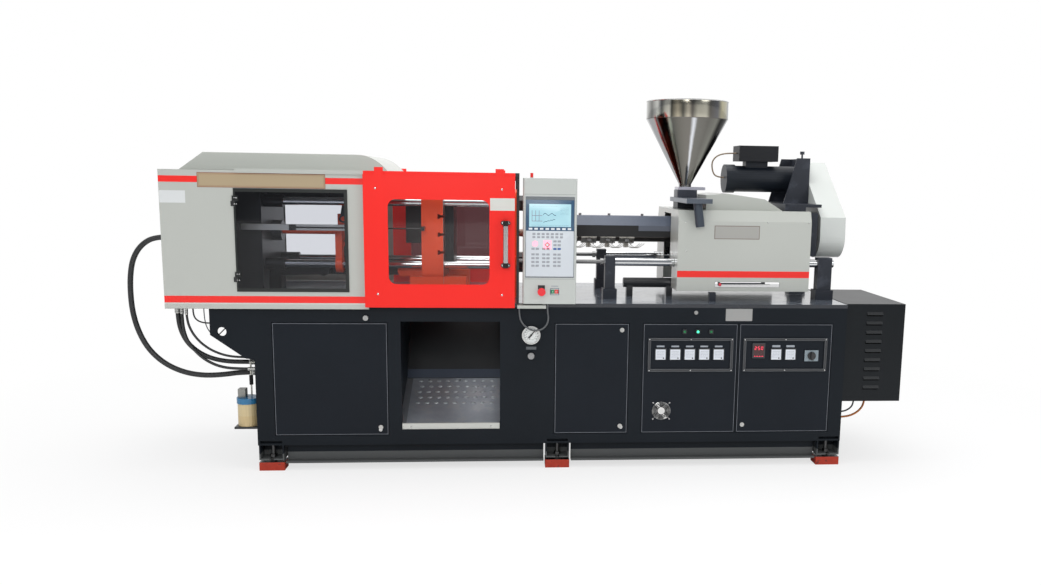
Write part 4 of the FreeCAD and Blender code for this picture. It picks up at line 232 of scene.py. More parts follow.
# ------------------------------------------------------------------ hoses and cables
# Four hydraulic hoses hang between the clamp cover and the bed's end, and thin cables hang beside them,
# under the operator panel, under the side cabinet and at the motor. Black or orange rubber, crimped ends.
def finish(name, colour, metal=0.0, rough=0.45, coat=0.0, mottle=0.07, cloud=3.0, grain=0.02,
           grain_size=0.003, stretch=(1, 1, 1), patches=None, spread=0.08, specular=0.5):
    """A material: a colour that drifts a little, a roughness that drifts with it, and a fine relief.

    patches gives (mask, colour, roughness, metal) where the same casting carries another finish.
    """
    material, nodes = blank(name)
    nodes.shade(Metallic=metal, Coat_Weight=coat, Coat_Roughness=0.08, Specular_IOR_Level=specular)
    place = nodes.node("TexCoord", out="Object")
    drift = nodes.node("TexNoise", sockets={"Vector": place, "Scale": cloud, "Detail": 5.0, "Roughness": 0.6})
    drawn = nodes.node("VectorMath", {"operation": "MULTIPLY"}, {0: place, 1: stretch})
    fine = nodes.node("TexNoise", sockets={"Vector": drawn, "Scale": 1 / grain_size, "Detail": 2.0})
    low, high = [tuple(min(1.0, c * k) for c in colour) for k in (1 - mottle, 1 + mottle)]
    shade = nodes.mix(drift, low, high)
    sheen = rough + (drift - 0.5) * spread + (fine - 0.5) * spread
    if patches:
        shine = nodes.maths("ADD", metal, 0.0)
        for mask, other, other_rough, other_metal in patches(nodes, *nodes.axes(place), drift):
            shade = nodes.mix(mask, shade, other)
            sheen = sheen + mask * (other_rough - rough)
            shine = shine + mask * (other_metal - metal)
        nodes.shade(Metallic=shine.most(0.0))
    relief = nodes.node("Bump", sockets={"Strength": 1.0, "Distance": 0.001 * grain, "Height": fine})
    nodes.shade(Base_Color=shade, Roughness=sheen.most(0.04), Normal=relief)
    return material


def turned(profile, axis, centre, count=48):
    """Rows of circles round an axis: each profile point is a place along the axis and a radius there."""
    along, radius = np.array(profile, float).T
    angle = np.linspace(0, 2 * math.pi, count, endpoint=False)
    a = "xyz".index(axis)
    rows = np.zeros((len(along), count, 3))
    rows[..., a] = along[:, None]
    rows[..., (a + 1) % 3] = radius[:, None] * np.cos(angle)
    rows[..., (a + 2) % 3] = radius[:, None] * np.sin(angle)
    return rows + np.array(centre, float)


def piece(name, body, slot, *parts, replaces=(), sharp=32):
    """One object of closed surfaces, each given as a material and rows of points (M by N by 3).

    Quads join neighbouring points, each row closes on itself, and the end rows are filled, unless the
    last row repeats the first, which makes a ring.
    """
    points, faces, marks, materials = [], [], [], []
    start = 0
    for material, rows in parts:
        count, around = rows.shape[:2]
        index = start + np.arange(count * around).reshape(count, around)
        beside = np.roll(index, -1, axis=1)
        quads = np.stack([index[:-1], beside[:-1], beside[1:], index[1:]], axis=-1).reshape(-1, 4).tolist()
        if not np.allclose(rows[0], rows[-1]):
            quads += [index[0][::-1].tolist(), index[-1].tolist()]
        if material not in materials:
            materials.append(material)
        marks += [materials.index(material)] * len(quads)
        faces += quads
        points.append(rows.reshape(-1, 3))
        start += count * around
    mesh = bpy.data.meshes.new(name)
    mesh.from_pydata(np.concatenate(points).tolist(), [], faces)
    mesh.polygons.foreach_set("material_index", marks)
    shell = bmesh.new()
    shell.from_mesh(mesh)
    bmesh.ops.remove_doubles(shell, verts=shell.verts, dist=1e-6)
    bmesh.ops.recalc_face_normals(shell, faces=shell.faces)
    shell.to_mesh(mesh)
    shell.free()
    for material in materials:
        mesh.materials.append(material)
    mesh.shade_smooth()
    mesh.set_sharp_from_angle(angle=math.radians(sharp))
    thing = link(bpy.data.objects.new(name, mesh))
    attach(thing, body)
    if replaces:
        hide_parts(*replaces)


def coat(node, material):
    """Gives a CAD part its finish."""
    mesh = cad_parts[node].data
    mesh.materials.clear()
    mesh.materials.append(material)


hose_rubber = finish("hose_rubber", (0.02, 0.021, 0.022), rough=0.42, mottle=0.25, cloud=14, grain=0.25,
                     grain_size=0.0022)
orange_rubber = finish("orange_rubber", (0.55, 0.17, 0.03), rough=0.5, mottle=0.15, cloud=20, grain=0.1)
grey_rubber = finish("grey_rubber", (0.1, 0.105, 0.11), rough=0.5, mottle=0.15, cloud=20, grain=0.1)
beige_rubber = finish("beige_rubber", (0.3, 0.22, 0.15), rough=0.55, mottle=0.2, cloud=20, grain=0.1)
zinc = finish("zinc_plate", (0.48, 0.48, 0.46), metal=1.0, rough=0.34, mottle=0.12, cloud=30, grain=0.05)

SOCKET_X = -1.768  # where the hoses enter the sockets on the bed's end
# each hose: its plane's y, diameter, length, and route in x and z
HOSES = {
    "return_hose": (-0.36, 0.032, 1.572, [
        (-2.25, 1.4), (-2.35, 1.4), (-2.432, 1.355), (-2.486, 1.275), (-2.508, 1.175), (-2.514, 1.06),
        (-2.508, 0.94), (-2.48, 0.822), (-2.428, 0.715), (-2.345, 0.63), (-2.24, 0.575), (-2.125, 0.551),
        (-2.005, 0.554), (-1.88, 0.572), (SOCKET_X, 0.572),
    ]),
    "pressure_hose": (-0.41, 0.028, 0.674, [
        (-2.226, 0.986), (-2.226, 0.915), (-2.214, 0.838), (-2.18, 0.765), (-2.122, 0.708), (-2.045, 0.668),
        (-1.955, 0.649), (-1.862, 0.646), (SOCKET_X, 0.646),
    ]),
    "pilot_hose": (-0.45, 0.017, 0.669, [
        (-2.188, 0.988), (-2.188, 0.915), (-2.182, 0.839), (-2.158, 0.769), (-2.11, 0.704), (-2.05, 0.655),
        (-1.975, 0.622), (-1.885, 0.611), (SOCKET_X, 0.611),
    ]),
    "drain_hose": (-0.49, 0.014, 0.558, [
        (-2.149, 0.988), (-2.149, 0.921), (-2.128, 0.85), (-2.083, 0.785), (-2.017, 0.733), (-1.935, 0.7),
        (-1.85, 0.69), (SOCKET_X, 0.69),
    ]),
}
# each cable: the same, with its rubber and the body it rides on before the route
CABLES = {
    "signal_cable": (-0.52, 0.009, 0.39, hose_rubber, "bed", [
        (-2.1, 0.99), (-2.1, 0.95), (-2.082, 0.92), (-2.05, 0.905), (-2.0, 0.902), (-1.92, 0.904),
        (-1.84, 0.905), (SOCKET_X, 0.905),
    ]),
    "earth_cable": (-0.505, 0.006, 0.417, grey_rubber, "bed", [
        (-2.043, 0.992), (-2.043, 0.932), (-2.031, 0.869), (-1.99, 0.815), (-1.92, 0.786), (-1.84, 0.78),
        (SOCKET_X, 0.78),
    ]),
    "panel_cable": (-0.588, 0.01, 0.396, grey_rubber, "bed", [
        (-0.01, 1.033), (-0.01, 0.99), (-0.002, 0.945), (-0.016, 0.9), (-0.055, 0.873), (-0.105, 0.874),
        (-0.15, 0.9), (-0.18, 0.95), (-0.18, 1.01),
    ]),
    "drive_cable": (-0.35, 0.013, 0.293, orange_rubber, "bed", [
        (2.091, 0.398), (2.091, 0.35), (2.062, 0.302), (2.01, 0.27), (1.945, 0.259), (1.88, 0.259),
    ]),
    "sensor_cable": (-0.42, 0.01, 0.161, hose_rubber, "bed", [
        (1.99, 0.398), (1.99, 0.362), (1.966, 0.333), (1.926, 0.314), (1.88, 0.314),
    ]),
    "motor_lead": (0.32, 0.01, 0.354, beige_rubber, "injection_housing", [
        (1.332, 1.975), (1.27, 1.975), (1.204, 1.961), (1.164, 1.922), (1.164, 1.862), (1.19, 1.808),
        (1.25, 1.808),
    ]),
}
STANDS_FOR = {"return_hose": "hydraulic_hoses", "signal_cable": "cables", "motor_lead": "motor_cable"}


def cord(name, level, diameter, length, material, body, route, stiffness):
    """A smooth cord through its route's points in one upright plane."""
    line = bpy.data.curves.new(name, "CURVE")
    line.dimensions = "3D"
    line.bevel_depth = diameter / 2
    line.bevel_resolution = 5
    line.resolution_u = 10
    line.use_fill_caps = True
    spline = line.splines.new("NURBS")
    spline.points.add(len(route) - 1)
    for spot, (x, z) in zip(spline.points, route):
        spot.co = (x, level, z, 1)
    spline.order_u = 3
    spline.use_endpoint_u = True
    line.materials.append(material)
    thing = link(bpy.data.objects.new(name, line))
    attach(thing, body)
    if name in STANDS_FOR:
        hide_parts(STANDS_FOR[name])


for name, (level, diameter, length, route) in HOSES.items():
    cord(name, level, diameter, length, hose_rubber, "bed", route, "stiff")
for name, cable in CABLES.items():
    cord(name, *cable, "medium")


def sleeve(at, axis, radius, length):
    """A crimped sleeve round a hose's end: a short barrel with three pressed grooves and a rounded lip."""
    steps = np.array([0.0, 0.02, 0.2, 0.24, 0.3, 0.34, 0.5, 0.54, 0.6, 0.64, 0.9, 1.0])
    swell = np.array([1.0, 1.18, 1.18, 1.12, 1.12, 1.18, 1.18, 1.12, 1.12, 1.18, 1.18, 1.02])
    a = "xyz".index(axis)
    profile = np.stack([at[a] - steps * length, radius * swell], axis=1)
    return turned(profile, axis, [0 if i == a else at[i] for i in range(3)], 28)


ends, starts = [], []
for name, (level, diameter, length, route) in HOSES.items():
    radius = diameter / 2 + 0.001
    (start_x, start_z), (end_x, end_z) = route[0], route[-1]
    ends.append((zinc, sleeve((end_x, level, end_z), "x", radius, 0.05)))
    if name == "return_hose":
        starts.append((zinc, sleeve((start_x, level, start_z), "x", radius, 0.045)))
    else:
        starts.append((zinc, sleeve((start_x, level, start_z), "z", radius, 0.04)))
piece("hose_sleeves", "bed", "bright_steel", *ends, *starts)


# ------------------------------------------------------------------ bed frame, table top and feet
# The bed is one welded steel box in near-black blue paint. The table top is a thick painted plate worn
# and smeared by oil, its pale streaks partly rubbed paint and partly painted reflection, and the machine
# stands on six bolts with red pads.
BED_FRONT = -0.55


def bed_patches(nodes, x, y, z, drift):
    """Bare fittings on the front and the clamp end, a paler strip of floor dust along the channels, and a
    paler band along the foot of the front.
    """
    front = (y < BED_FRONT - 0.0002) * (z > 0.3)
    end = (x < -1.7503) * y.within(-0.532, -0.3) * (z < 0.95)
    dust = (z < 0.1) * (drift * 0.5).least(1.0)
    rail = (z < 0.105) * (y < -0.4)
    return [
        (dust, (0.1, 0.1, 0.095), 0.7, 0.0),
        (rail * 0.75, (0.13, 0.135, 0.135), 0.55, 0.3),
        (front.most(end), (0.42, 0.42, 0.41), 0.35, 1.0),
    ]


coat("bed_frame", finish("bed_paint", (0.009, 0.012, 0.016), rough=0.4, specular=0.13, mottle=0.28,
                         cloud=1.7, grain=0.06, grain_size=0.004, patches=bed_patches, spread=0.1))


def table_patches(nodes, x, y, z, drift):
    """Pale streaks on the top face: partly rubbed paint, partly painted reflection of the bright surround."""
    place = nodes.node("TexCoord", out="Object")
    long = nodes.node("VectorMath", {"operation": "MULTIPLY"}, {0: place, 1: (1.0, 5.0, 1.0)})
    # painted reflection: pale streaks stand for the lit surround mirrored in the oily top, mixed with rubbed
    # paint
    rub_and_reflection_streaks = nodes.node("TexNoise", sockets={"Vector": long, "Scale": 5.0, "Detail": 8.0, "Roughness": 0.7})
    worn = ((rub_and_reflection_streaks - 0.5) * 7.0).most(0.0).least(1.0)
    top = z > 1.0325
    return [
        (top * 0.9, (0.085, 0.1, 0.125), 0.16, 0.0),
        (worn * top * 0.75, (0.2, 0.225, 0.26), 0.4, 0.0),
    ]


coat("table_top", finish("table_paint", (0.018, 0.021, 0.028), rough=0.24, coat=0.5, mottle=0.3, cloud=3.5,
                         grain=0.05, patches=table_patches, spread=0.16))


def wire(start, end, radius, count=10):
    """A straight round bar between two points: circles in the plane square to it."""
    start, end = np.array(start, float), np.array(end, float)
    way = (end - start) / np.linalg.norm(end - start)
    side = np.cross(way, (0.0, 0.0, 1.0) if abs(way[2]) < 0.9 else (1.0, 0.0, 0.0))
    side /= np.linalg.norm(side)
    turn = np.linspace(0, 2 * math.pi, count, endpoint=False)[:, None]
    circle = radius * (np.cos(turn) * side + np.sin(turn) * np.cross(way, side))
    return np.stack([start + circle, end + circle])


# a thin stay crosses the lifting hole in the front gusset
stay = wire((-1.9515, -0.5425, 0.8365), (-1.9125, -0.5425, 0.8755), 0.0035)
piece("gusset_stay", "bed", "bed_blue", (hose_rubber, stay))


def feet_patches(nodes, x, y, z, drift):
    """The bolts and nuts above the painted pads are blackened steel; the pads have dirty patches."""
    pad_top = 0.0515
    return [
        (z > pad_top, (0.1, 0.1, 0.1), 0.38, 1.0),
        ((z < pad_top) * (drift > 0.6) * 0.7, (0.07, 0.03, 0.025), 0.7, 0.0),
    ]


coat("levelling_feet", finish("pad_paint", (0.42, 0.04, 0.02), rough=0.5, specular=0.3, mottle=0.35,
                              cloud=22, grain=0.25, patches=feet_patches))


# ------------------------------------------------------------------ bed doors
# Two plain doors and the pair of the electric cabinet: flat sheet, flush in their openings, with a thin
# bright line of painted highlight along their edges, and round quarter-turn locks.
def outline(size, corner, steps=6):
    """A rectangle with quarter-circle corners round the origin, and the outward direction at each point."""
    turn = np.arange(4)[:, None] * math.pi / 2 + np.linspace(0, math.pi / 2, steps + 1)
    outward = np.stack([np.cos(turn), np.sin(turn)], axis=-1)
    signs = np.array([(1, 1), (-1, 1), (-1, -1), (1, -1)])[:, None]
    spots = signs * (np.array(size) / 2 - corner) + corner * outward
    return spots.reshape(-1, 2), outward.reshape(-1, 2)


def stacked(low, high, thin, corner, profile, steps=6):
    """A rounded rectangle carried along a profile of (outward offset, place along the thin axis)."""
    low, high = np.array(low, float), np.array(high, float)
    a = "xyz".index(thin)
    b, c = (a + 1) % 3, (a + 2) % 3
    spots, outward = outline((high - low)[[b, c]], corner, steps)
    offset, along = np.array(profile, float).T
    rows = np.zeros((len(along), len(spots), 3))
    flat = (low + high)[[b, c]] / 2 + spots + offset[:, None, None] * outward
    rows[..., b] = flat[..., 0]
    rows[..., c] = flat[..., 1]
    rows[..., a] = along[:, None]
    return rows


def slab(low, high, thin, corner=0.0, edge=0.0, steps=6):
    """A plate between two corner points: its outline is carried along a profile with quarter-circle edges."""
    a = "xyz".index(thin)
    bend = np.linspace(0, math.pi / 2, 4)
    inset = -edge * (1 - np.sin(bend))
    rise = edge * (1 - np.cos(bend))
    profile = np.concatenate([
        np.stack([inset, low[a] + rise], axis=1),
        np.stack([inset, high[a] - rise], axis=1)[::-1],
    ])
    return stacked(low, high, thin, max(corner, edge + 1e-4), profile, steps)


def label(x, z, half_x, half_z, front, back, corner=0.001, edge=0.0003, steps=6):
    """A thin plate on a front face, by its middle and half sizes."""
    return slab((x - half_x, front, z - half_z), (x + half_x, back, z + half_z), "y", corner, edge, steps)


def border(low, high, thin, width, corner=0.0, hole_corner=0.0, edge=0.001):
    """A flat frame: outer face, front, inner face and back of a rectangle with a rectangular hole."""
    a = "xyz".index(thin)
    near, far = low[a], high[a]
    outer = stacked(low, high, thin, corner, [(-edge, near), (0, near + edge), (0, far - edge), (-edge, far)])
    hole_low = [v if i == a else v + width for i, v in enumerate(low)]
    hole_high = [v if i == a else v - width for i, v in enumerate(high)]
    hole_profile = [(edge, far), (0, far - edge), (0, near + edge), (edge, near)]
    inner = stacked(hole_low, hole_high, thin, hole_corner, hole_profile)
    return np.concatenate([outer, inner, outer[:1]])


def screw_head(x, y, z, radius, axis="y", way=-1):
    """A domed screw head on a face: a low cap with a rounded rim and a small socket in its middle."""
    a = "xyz".index(axis)
    at = (x, y, z)
    shape = [(0.0, 1.0), (0.25, 1.0), (0.5, 0.86), (0.62, 0.5), (0.62, 0.42), (0.25, 0.36), (0.25, 0.0)]
    rows = [(at[a] + way * rise * radius, wide * radius) for rise, wide in shape]
    return turned(rows, axis, [0 if i == a else at[i] for i in range(3)], 20)


def door_patches(nodes, x, y, z, drift):
    """The lock heads stand before the sheet and are bare."""
    return [(y < BED_FRONT - 0.0002, (0.5, 0.5, 0.48), 0.3, 1.0)]


door_paint = finish("door_paint", (0.009, 0.012, 0.017), rough=0.4, specular=0.14, mottle=0.3, cloud=1.4,
                    grain=0.05, grain_size=0.004, patches=door_patches, spread=0.1)
edge_highlight = finish("edge_highlight", (0.125, 0.135, 0.155), rough=0.3, coat=0.3, mottle=0.6, cloud=9,
                     grain=0.02)
for door, left, width in (
    ("left_door", -1.643, 0.673), ("middle_door", 0.04, 0.453), ("cabinet_door_left", 0.583, 0.59),
    ("cabinet_door_right", 1.186, 0.59),
):
    coat(door, door_paint)
    # each door's rim is a thin frame in a paler finish: a painted highlight on the sheet's edges
    rim = border((left + 0.003, BED_FRONT - 0.00025, 0.223), (left + width - 0.003, BED_FRONT, 0.907), "y",
                 0.0028, 0.002, 0.001, 0.0001)
    piece(door + "_rim", door, "bed_blue", (edge_highlight, rim))
chrome_trim = finish("chrome_trim", (0.62, 0.62, 0.61), metal=1.0, rough=0.16, mottle=0.06, cloud=40,
                     grain=0.01)
knob_black = finish("knob_black", (0.015, 0.015, 0.016), rough=0.3, coat=0.2, mottle=0.2, cloud=30,
                    grain=0.02)
barrel = [(-0.5502, 0.011), (-0.5525, 0.011), (-0.5535, 0.0095), (-0.5535, 0.006), (-0.552, 0.0055),
          (-0.552, 0.0)]
for door, x, z in (
    ("left_door", -1.018, 0.252), ("middle_door", 0.455, 0.258), ("cabinet_door_right", 1.226, 0.27),
):
    piece(door + "_keyhole", door, "bright_steel", (chrome_trim, turned(barrel, "y", (x, 0, z), 28)))


# ------------------------------------------------------------------ parts chute
# A sloping steel plate under the drop hole brings the mouldings to the front. Its slope is pressed with rows
# of dimples in a brighter steel, a painted highlight, its upright back is black, and its front lip is a
# bright folded edge.
CHUTE_SLOPE = 0.4111  # rise over run
CHUTE_FOOT = (-0.55, 0.2848)  # y and z of the sloping face at the front


def chute_patches(nodes, x, y, z, drift):
    """Rubbed steel with a bright front lip; above the bend black, with a blue-grey bar along its foot."""
    lip = y < -0.5395
    shaded = (x < -0.865) * (y > -0.5395)
    return [
        ((drift > 0.52) * 0.5, (0.3, 0.31, 0.32), 0.3, 0.6),
        (shaded * 0.6, (0.05, 0.05, 0.055), 0.45, 0.2),
        (lip, (0.58, 0.59, 0.55), 0.42, 0.3),
        (z > 0.4705, (0.006, 0.007, 0.009), 0.5, 0.0),
        (z.within(0.4745, 0.526), (0.03, 0.042, 0.068), 0.4, 0.0),
    ]


coat("chute_plate", finish("chute_steel", (0.27, 0.295, 0.33), metal=0.5, rough=0.36, mottle=0.3, cloud=11,
                           grain=0.1, grain_size=0.002, stretch=(1, 0.12, 1), patches=chute_patches))


def dimple(x, y):
    """A pressed dimple on the sloping plate: a low dome, flattened along the slope."""
    dome = [(0.0, 1.0), (0.35, 0.92), (0.7, 0.66), (0.92, 0.33), (1.0, 0.0)]
    rows = turned([(0.004 * rise, 0.015 * wide) for rise, wide in dome], "z", (0, 0, 0), 16)
    rows[..., 1] *= 0.55
    rows[..., 2] += CHUTE_FOOT[1] + (rows[..., 1] + y - CHUTE_FOOT[0]) * CHUTE_SLOPE
    return rows + np.array((x, y, 0.0))


# the dimples' steel is paler than the plate's: painted highlight on the pressed domes
dimple_highlight_steel = finish("dimple_highlight_steel", (0.46, 0.49, 0.52), metal=0.6, rough=0.3, mottle=0.2, cloud=30,
                       grain=0.05)
dimples = [
    (dimple_highlight_steel, dimple(-0.812 + 0.0575 * column + 0.012 * (row % 2), -0.35 + 0.055 * row))
    for row in range(5) for column in range(9)
]
rivets = [(chrome_trim, screw_head(x, -0.545, 0.268, 0.005)) for x in (-0.835, -0.35)]
bolts = [(knob_black, screw_head(x, -0.118, 0.4618, 0.0065, "z", 1)) for x in (-0.76, -0.56)]
piece("chute_dimples", "bed", "bright_steel", *dimples, *rivets, *bolts)


# ------------------------------------------------------------------ side cabinet
# A folded sheet cabinet on the drive end, near black, with pressed louvres, and the pump's motor by it.
coat("side_cabinet", finish("cabinet_paint", (0.006, 0.008, 0.01), rough=0.34, specular=0.22, mottle=0.2,
                            cloud=2.5, grain=0.06))
coat("pump_motor", finish("pump_paint", (0.03, 0.035, 0.045), rough=0.5, mottle=0.3, cloud=8, grain=0.1))


# ------------------------------------------------------------------ instruments and fan in the cabinet doors
# Black moulded frames with six screws hold white-faced temperature controllers, a meter with red figures
# and the main switch. Three lamps sit above, and a small fan blows out through a wire guard.
LEFT_CONTROLLERS = (0.692, 0.783, 0.874, 0.965, 1.056)
RIGHT_CONTROLLERS = (1.421, 1.512)


def instrument_patches(nodes, x, y, z, drift):
    """White faces with rows of small grey marks, the red-lit meter and the grey plate of the switch."""
    front = y < -0.5575
    rows = (z * 105.0).fract().within(0.35, 0.72)
    words = (x * 2600.0).sine() + (x * 1130.0 + z * 900.0).sine() > 0.1
    layers = []
    for middle in LEFT_CONTROLLERS + RIGHT_CONTROLLERS:
        face = nodes.square(x, z, middle, 0.719, 0.031, 0.032) * front
        marks = rows * words * nodes.square(x, z, middle, 0.722, 0.024, 0.022)
        dot = nodes.square(x, z, middle + 0.018, 0.696, 0.0035, 0.0045)
        layers.append((face, (0.66, 0.69, 0.74), 0.32, 0.0))
        layers.append((face * marks, (0.3, 0.32, 0.36), 0.4, 0.0))
        layers.append((face * dot, (0.02, 0.02, 0.02), 0.4, 0.0))
    meter = nodes.square(x, z, 1.309, 0.743, 0.033, 0.041) * front
    switch = nodes.square(x, z, 1.647, 0.711, 0.044, 0.035) * front
    return layers + [(meter, (0.05, 0.012, 0.014), 0.15, 0.0), (switch, (0.22, 0.27, 0.3), 0.35, 0.0)]


frame_plastic = finish("frame_plastic", (0.028, 0.03, 0.034), rough=0.38, coat=0.1, mottle=0.15, cloud=8,
                       grain=0.03, patches=instrument_patches)
coat("left_instruments", frame_plastic)
coat("right_instruments", frame_plastic)
caption = finish("caption_strip", (0.33, 0.36, 0.4), rough=0.45, mottle=0.3, cloud=90, grain=0.02)
clear_edge = finish("clear_edge", (0.11, 0.12, 0.13), rough=0.18, coat=0.6, mottle=0.4, cloud=6, grain=0.01)
for door, left, right in (("cabinet_door_left", 0.615, 1.145), ("cabinet_door_right", 1.213, 1.743)):
    screws = [
        (chrome_trim, screw_head(x, -0.559, z, 0.0042))
        for x in (left + 0.007, (left + right) / 2, right - 0.007) for z in (0.62, 0.814)
    ]
    trims = [
        (clear_edge, border((left + inset, front, low), (right - inset, back, high), "y", 0.0016, 0.002,
                            0.001, 0.0004))
        for inset, front, back, low, high in (
            (0.013, -0.5595, -0.5585, 0.626, 0.808), (-0.001, -0.5605, -0.5592, 0.612, 0.822),
        )
    ]
    piece(door + "_frame_trim", door, "bright_steel", *trims, *screws)
for side, spots, middle_z, half_x, half_z in (
    ("left", LEFT_CONTROLLERS, 0.769, 0.024, 0.005), ("right", RIGHT_CONTROLLERS, 0.7705, 0.026, 0.0065),
):
    strips = [(caption, label(x, middle_z, half_x, half_z, BED_FRONT - 0.0012, BED_FRONT)) for x in spots]
    piece("caption_strips_" + side, "cabinet_door_" + side, "cream_plastic", *strips)


def glowing(name, colour, strength, dark):
    """A lit lens or figure: it shines in its colour, a little brighter in patches."""
    material, nodes = blank(name)
    place = nodes.node("TexCoord", out="Object")
    cloud = nodes.node("TexNoise", sockets={"Vector": place, "Scale": 160.0, "Detail": 2.0})
    shade = nodes.mix(cloud, tuple(c * (1 - dark) for c in colour), colour)
    nodes.shade(Base_Color=shade, Emission_Color=shade, Roughness=cloud * 0.1 + 0.15,
                Emission_Strength=strength)
    return material


green_glow = glowing("green_glow", (0.06, 0.95, 0.42), 2.2, 0.5)
green_dull = glowing("green_dull", (0.01, 0.16, 0.05), 0.5, 0.6)
red_glow = glowing("red_glow", (1.0, 0.05, 0.1), 1.5, 0.3)
lens = [(-0.558, 0.0085), (-0.5612, 0.008), (-0.5632, 0.006), (-0.564, 0.0)]
lamps = []
for x, glow in ((0.838, green_dull), (0.921, green_glow), (1.004, green_dull)):
    bezel = border((x - 0.0135, -0.5625, 0.8485), (x + 0.0135, -0.556, 0.8755), "y", 0.003, 0.003, 0.001)
    lamps += [(frame_plastic, bezel), (glow, turned(lens, "y", (x, 0, 0.862), 28))]
piece("pilot_lamps", "cabinet_door_left", "cream_plastic", *lamps)

# a seven-segment figure: each bar's place, in half widths and half heights of the figure, and its way
SEGMENTS = {
    "across_top": (0, 1, "flat"), "across_middle": (0, 0, "flat"), "across_low": (0, -1, "flat"),
    "left_top": (-1, 0.5, "tall"), "right_top": (1, 0.5, "tall"),
    "left_low": (-1, -0.5, "tall"), "right_low": (1, -0.5, "tall"),
}
FIGURES = {
    1.289: ("across_top", "right_top", "across_middle", "left_low", "across_low"),
    1.309: ("across_top", "left_top", "across_middle", "right_low", "across_low"),
    1.329: ("across_top", "left_top", "right_top", "left_low", "right_low", "across_low"),
}
BAR_HALF = {"flat": (0.004, 0.0011), "tall": (0.0011, 0.0036)}
digits = []
for figure_x, bars in FIGURES.items():
    for bar in bars:
        side, rise, way = SEGMENTS[bar]
        spot = (figure_x + side * 0.0052, 0.759 + rise * 0.009)
        digits.append((red_glow, label(*spot, *BAR_HALF[way], -0.5588, -0.558, 0.0006, 0.0002)))
for i in range(6):
    dash = label(1.283 + 0.0104 * i, 0.708, 0.003, 0.0015, -0.5588, -0.558, 0.0006, 0.0002)
    digits.append((red_glow, dash))
piece("meter_figures", "cabinet_door_right", "red_plastic", *digits)
coat("isolator_handle", knob_black)
coat("fan_rotor", finish("fan_plastic", (0.02, 0.021, 0.022), rough=0.42, mottle=0.2, cloud=20, grain=0.05))


def ring(axis, centre, radius, thick, count=56):
    """A wire ring: a small circle carried round a large one."""
    turn = np.linspace(0, 2 * math.pi, count + 1)
    small = np.linspace(0, 2 * math.pi, 9)[:-1]
    reach = radius + thick * np.cos(small)
    a = "xyz".index(axis)
    rows = np.zeros((count + 1, 8, 3))
    rows[..., a] = centre[a] + thick * np.sin(small)
    rows[..., (a + 1) % 3] = centre[(a + 1) % 3] + reach * np.cos(turn)[:, None]
    rows[..., (a + 2) % 3] = centre[(a + 2) % 3] + reach * np.sin(turn)[:, None]
    return rows


FAN_X, FAN_Z = 0.706, 0.362
hub = [(-0.555, 0.023), (-0.557, 0.0236), (-0.5585, 0.0225), (-0.559, 0.0)]
guard = [(chrome_trim, ring("y", (FAN_X, -0.5565, FAN_Z), r, 0.0011)) for r in (0.031, 0.04, 0.049, 0.056)]
guard.append((chrome_trim, turned(hub, "y", (FAN_X, 0, FAN_Z), 36)))
for way_x in (-1, 1):
    for way_z in (-1, 1):
        near = (FAN_X + way_x * 0.014, -0.5555, FAN_Z + way_z * 0.014)
        far = (FAN_X + way_x * 0.0515, -0.5555, FAN_Z + way_z * 0.0515)
        guard.append((chrome_trim, wire(near, far, 0.0013)))
        guard.append((chrome_trim, screw_head(far[0], -0.5545, far[2], 0.0052)))
piece("fan_guard", "cabinet_door_left", "bright_steel", *guard)


# ------------------------------------------------------------------ pressure gauge
# A round gauge with a white dial, black marks and a black needle, and below it a small valve knob.
GAUGE_X, GAUGE_Z = -0.107, 0.842


def gauge_patches(nodes, x, y, z, drift):
    """The dial inside the bright rim: marks every 24 degrees round a ring, and bare steel elsewhere."""
    away_x, away_z = x - GAUGE_X, z - GAUGE_Z
    reach = nodes.reach(away_x, away_z)
    angle = nodes.maths("ARCTAN2", away_z, away_x) * (180 / math.pi / 24.0) + 20.0
    tick = angle.fract().within(0.42, 0.58)
    fine_tick = (angle * 5.0).fract().within(0.35, 0.65)
    open_low = 1.0 - (away_z < -0.03)
    marks = tick * reach.within(0.034, 0.044) + fine_tick * reach.within(0.04, 0.044)
    figures = (angle + 0.25).fract().within(0.2, 0.8) * reach.within(0.027, 0.0315)
    dots = (x * 3300.0).sine() * (z * 3300.0).sine() > -0.2
    dial = (reach < 0.0495) * (y < -0.557)
    plate = nodes.square(x, z, -0.106, 0.758, 0.031, 0.009) * (y < BED_FRONT - 0.0005)
    return [
        (dial, (0.7, 0.72, 0.71), 0.3, 0.0),
        (dial * marks.least(1.0) * open_low, (0.02, 0.02, 0.02), 0.4, 0.0),
        (dial * figures * dots * open_low * 0.7, (0.05, 0.05, 0.05), 0.4, 0.0),
        (plate, (0.09, 0.1, 0.11), 0.45, 0.0),
        (z < 0.74, (0.16, 0.16, 0.16), 0.35, 1.0),
    ]


coat("pressure_gauge", finish("gauge_steel", (0.6, 0.6, 0.58), metal=1.0, rough=0.2, mottle=0.08, cloud=30,
                              grain=0.02, patches=gauge_patches))
coat("gauge_needle", finish("needle_paint", (0.012, 0.012, 0.013), rough=0.4, mottle=0.2, cloud=60,
                            grain=0.01))
coat("gauge_valve", finish("valve_steel", (0.3, 0.3, 0.3), metal=1.0, rough=0.28, mottle=0.2, cloud=60,
                           grain=0.05))
rim = [(-0.572, 0.054), (-0.579, 0.0568), (-0.5812, 0.0556), (-0.5812, 0.052), (-0.579, 0.0505),
       (-0.572, 0.05), (-0.572, 0.054)]
piece("gauge_rim", "bed", "bright_steel", (chrome_trim, turned(rim, "y", (GAUGE_X, 0, GAUGE_Z), 64)))


# ------------------------------------------------------------------ platens, tie bars and toggle
# The mould's two platens are cast, in bright orange-red paint with machined faces, and the rear one is
# black. Hard-chromed tie bars carry black nuts and sleeves, and dark forged links work between them.
ORANGE = (0.95, 0.085, 0.015)


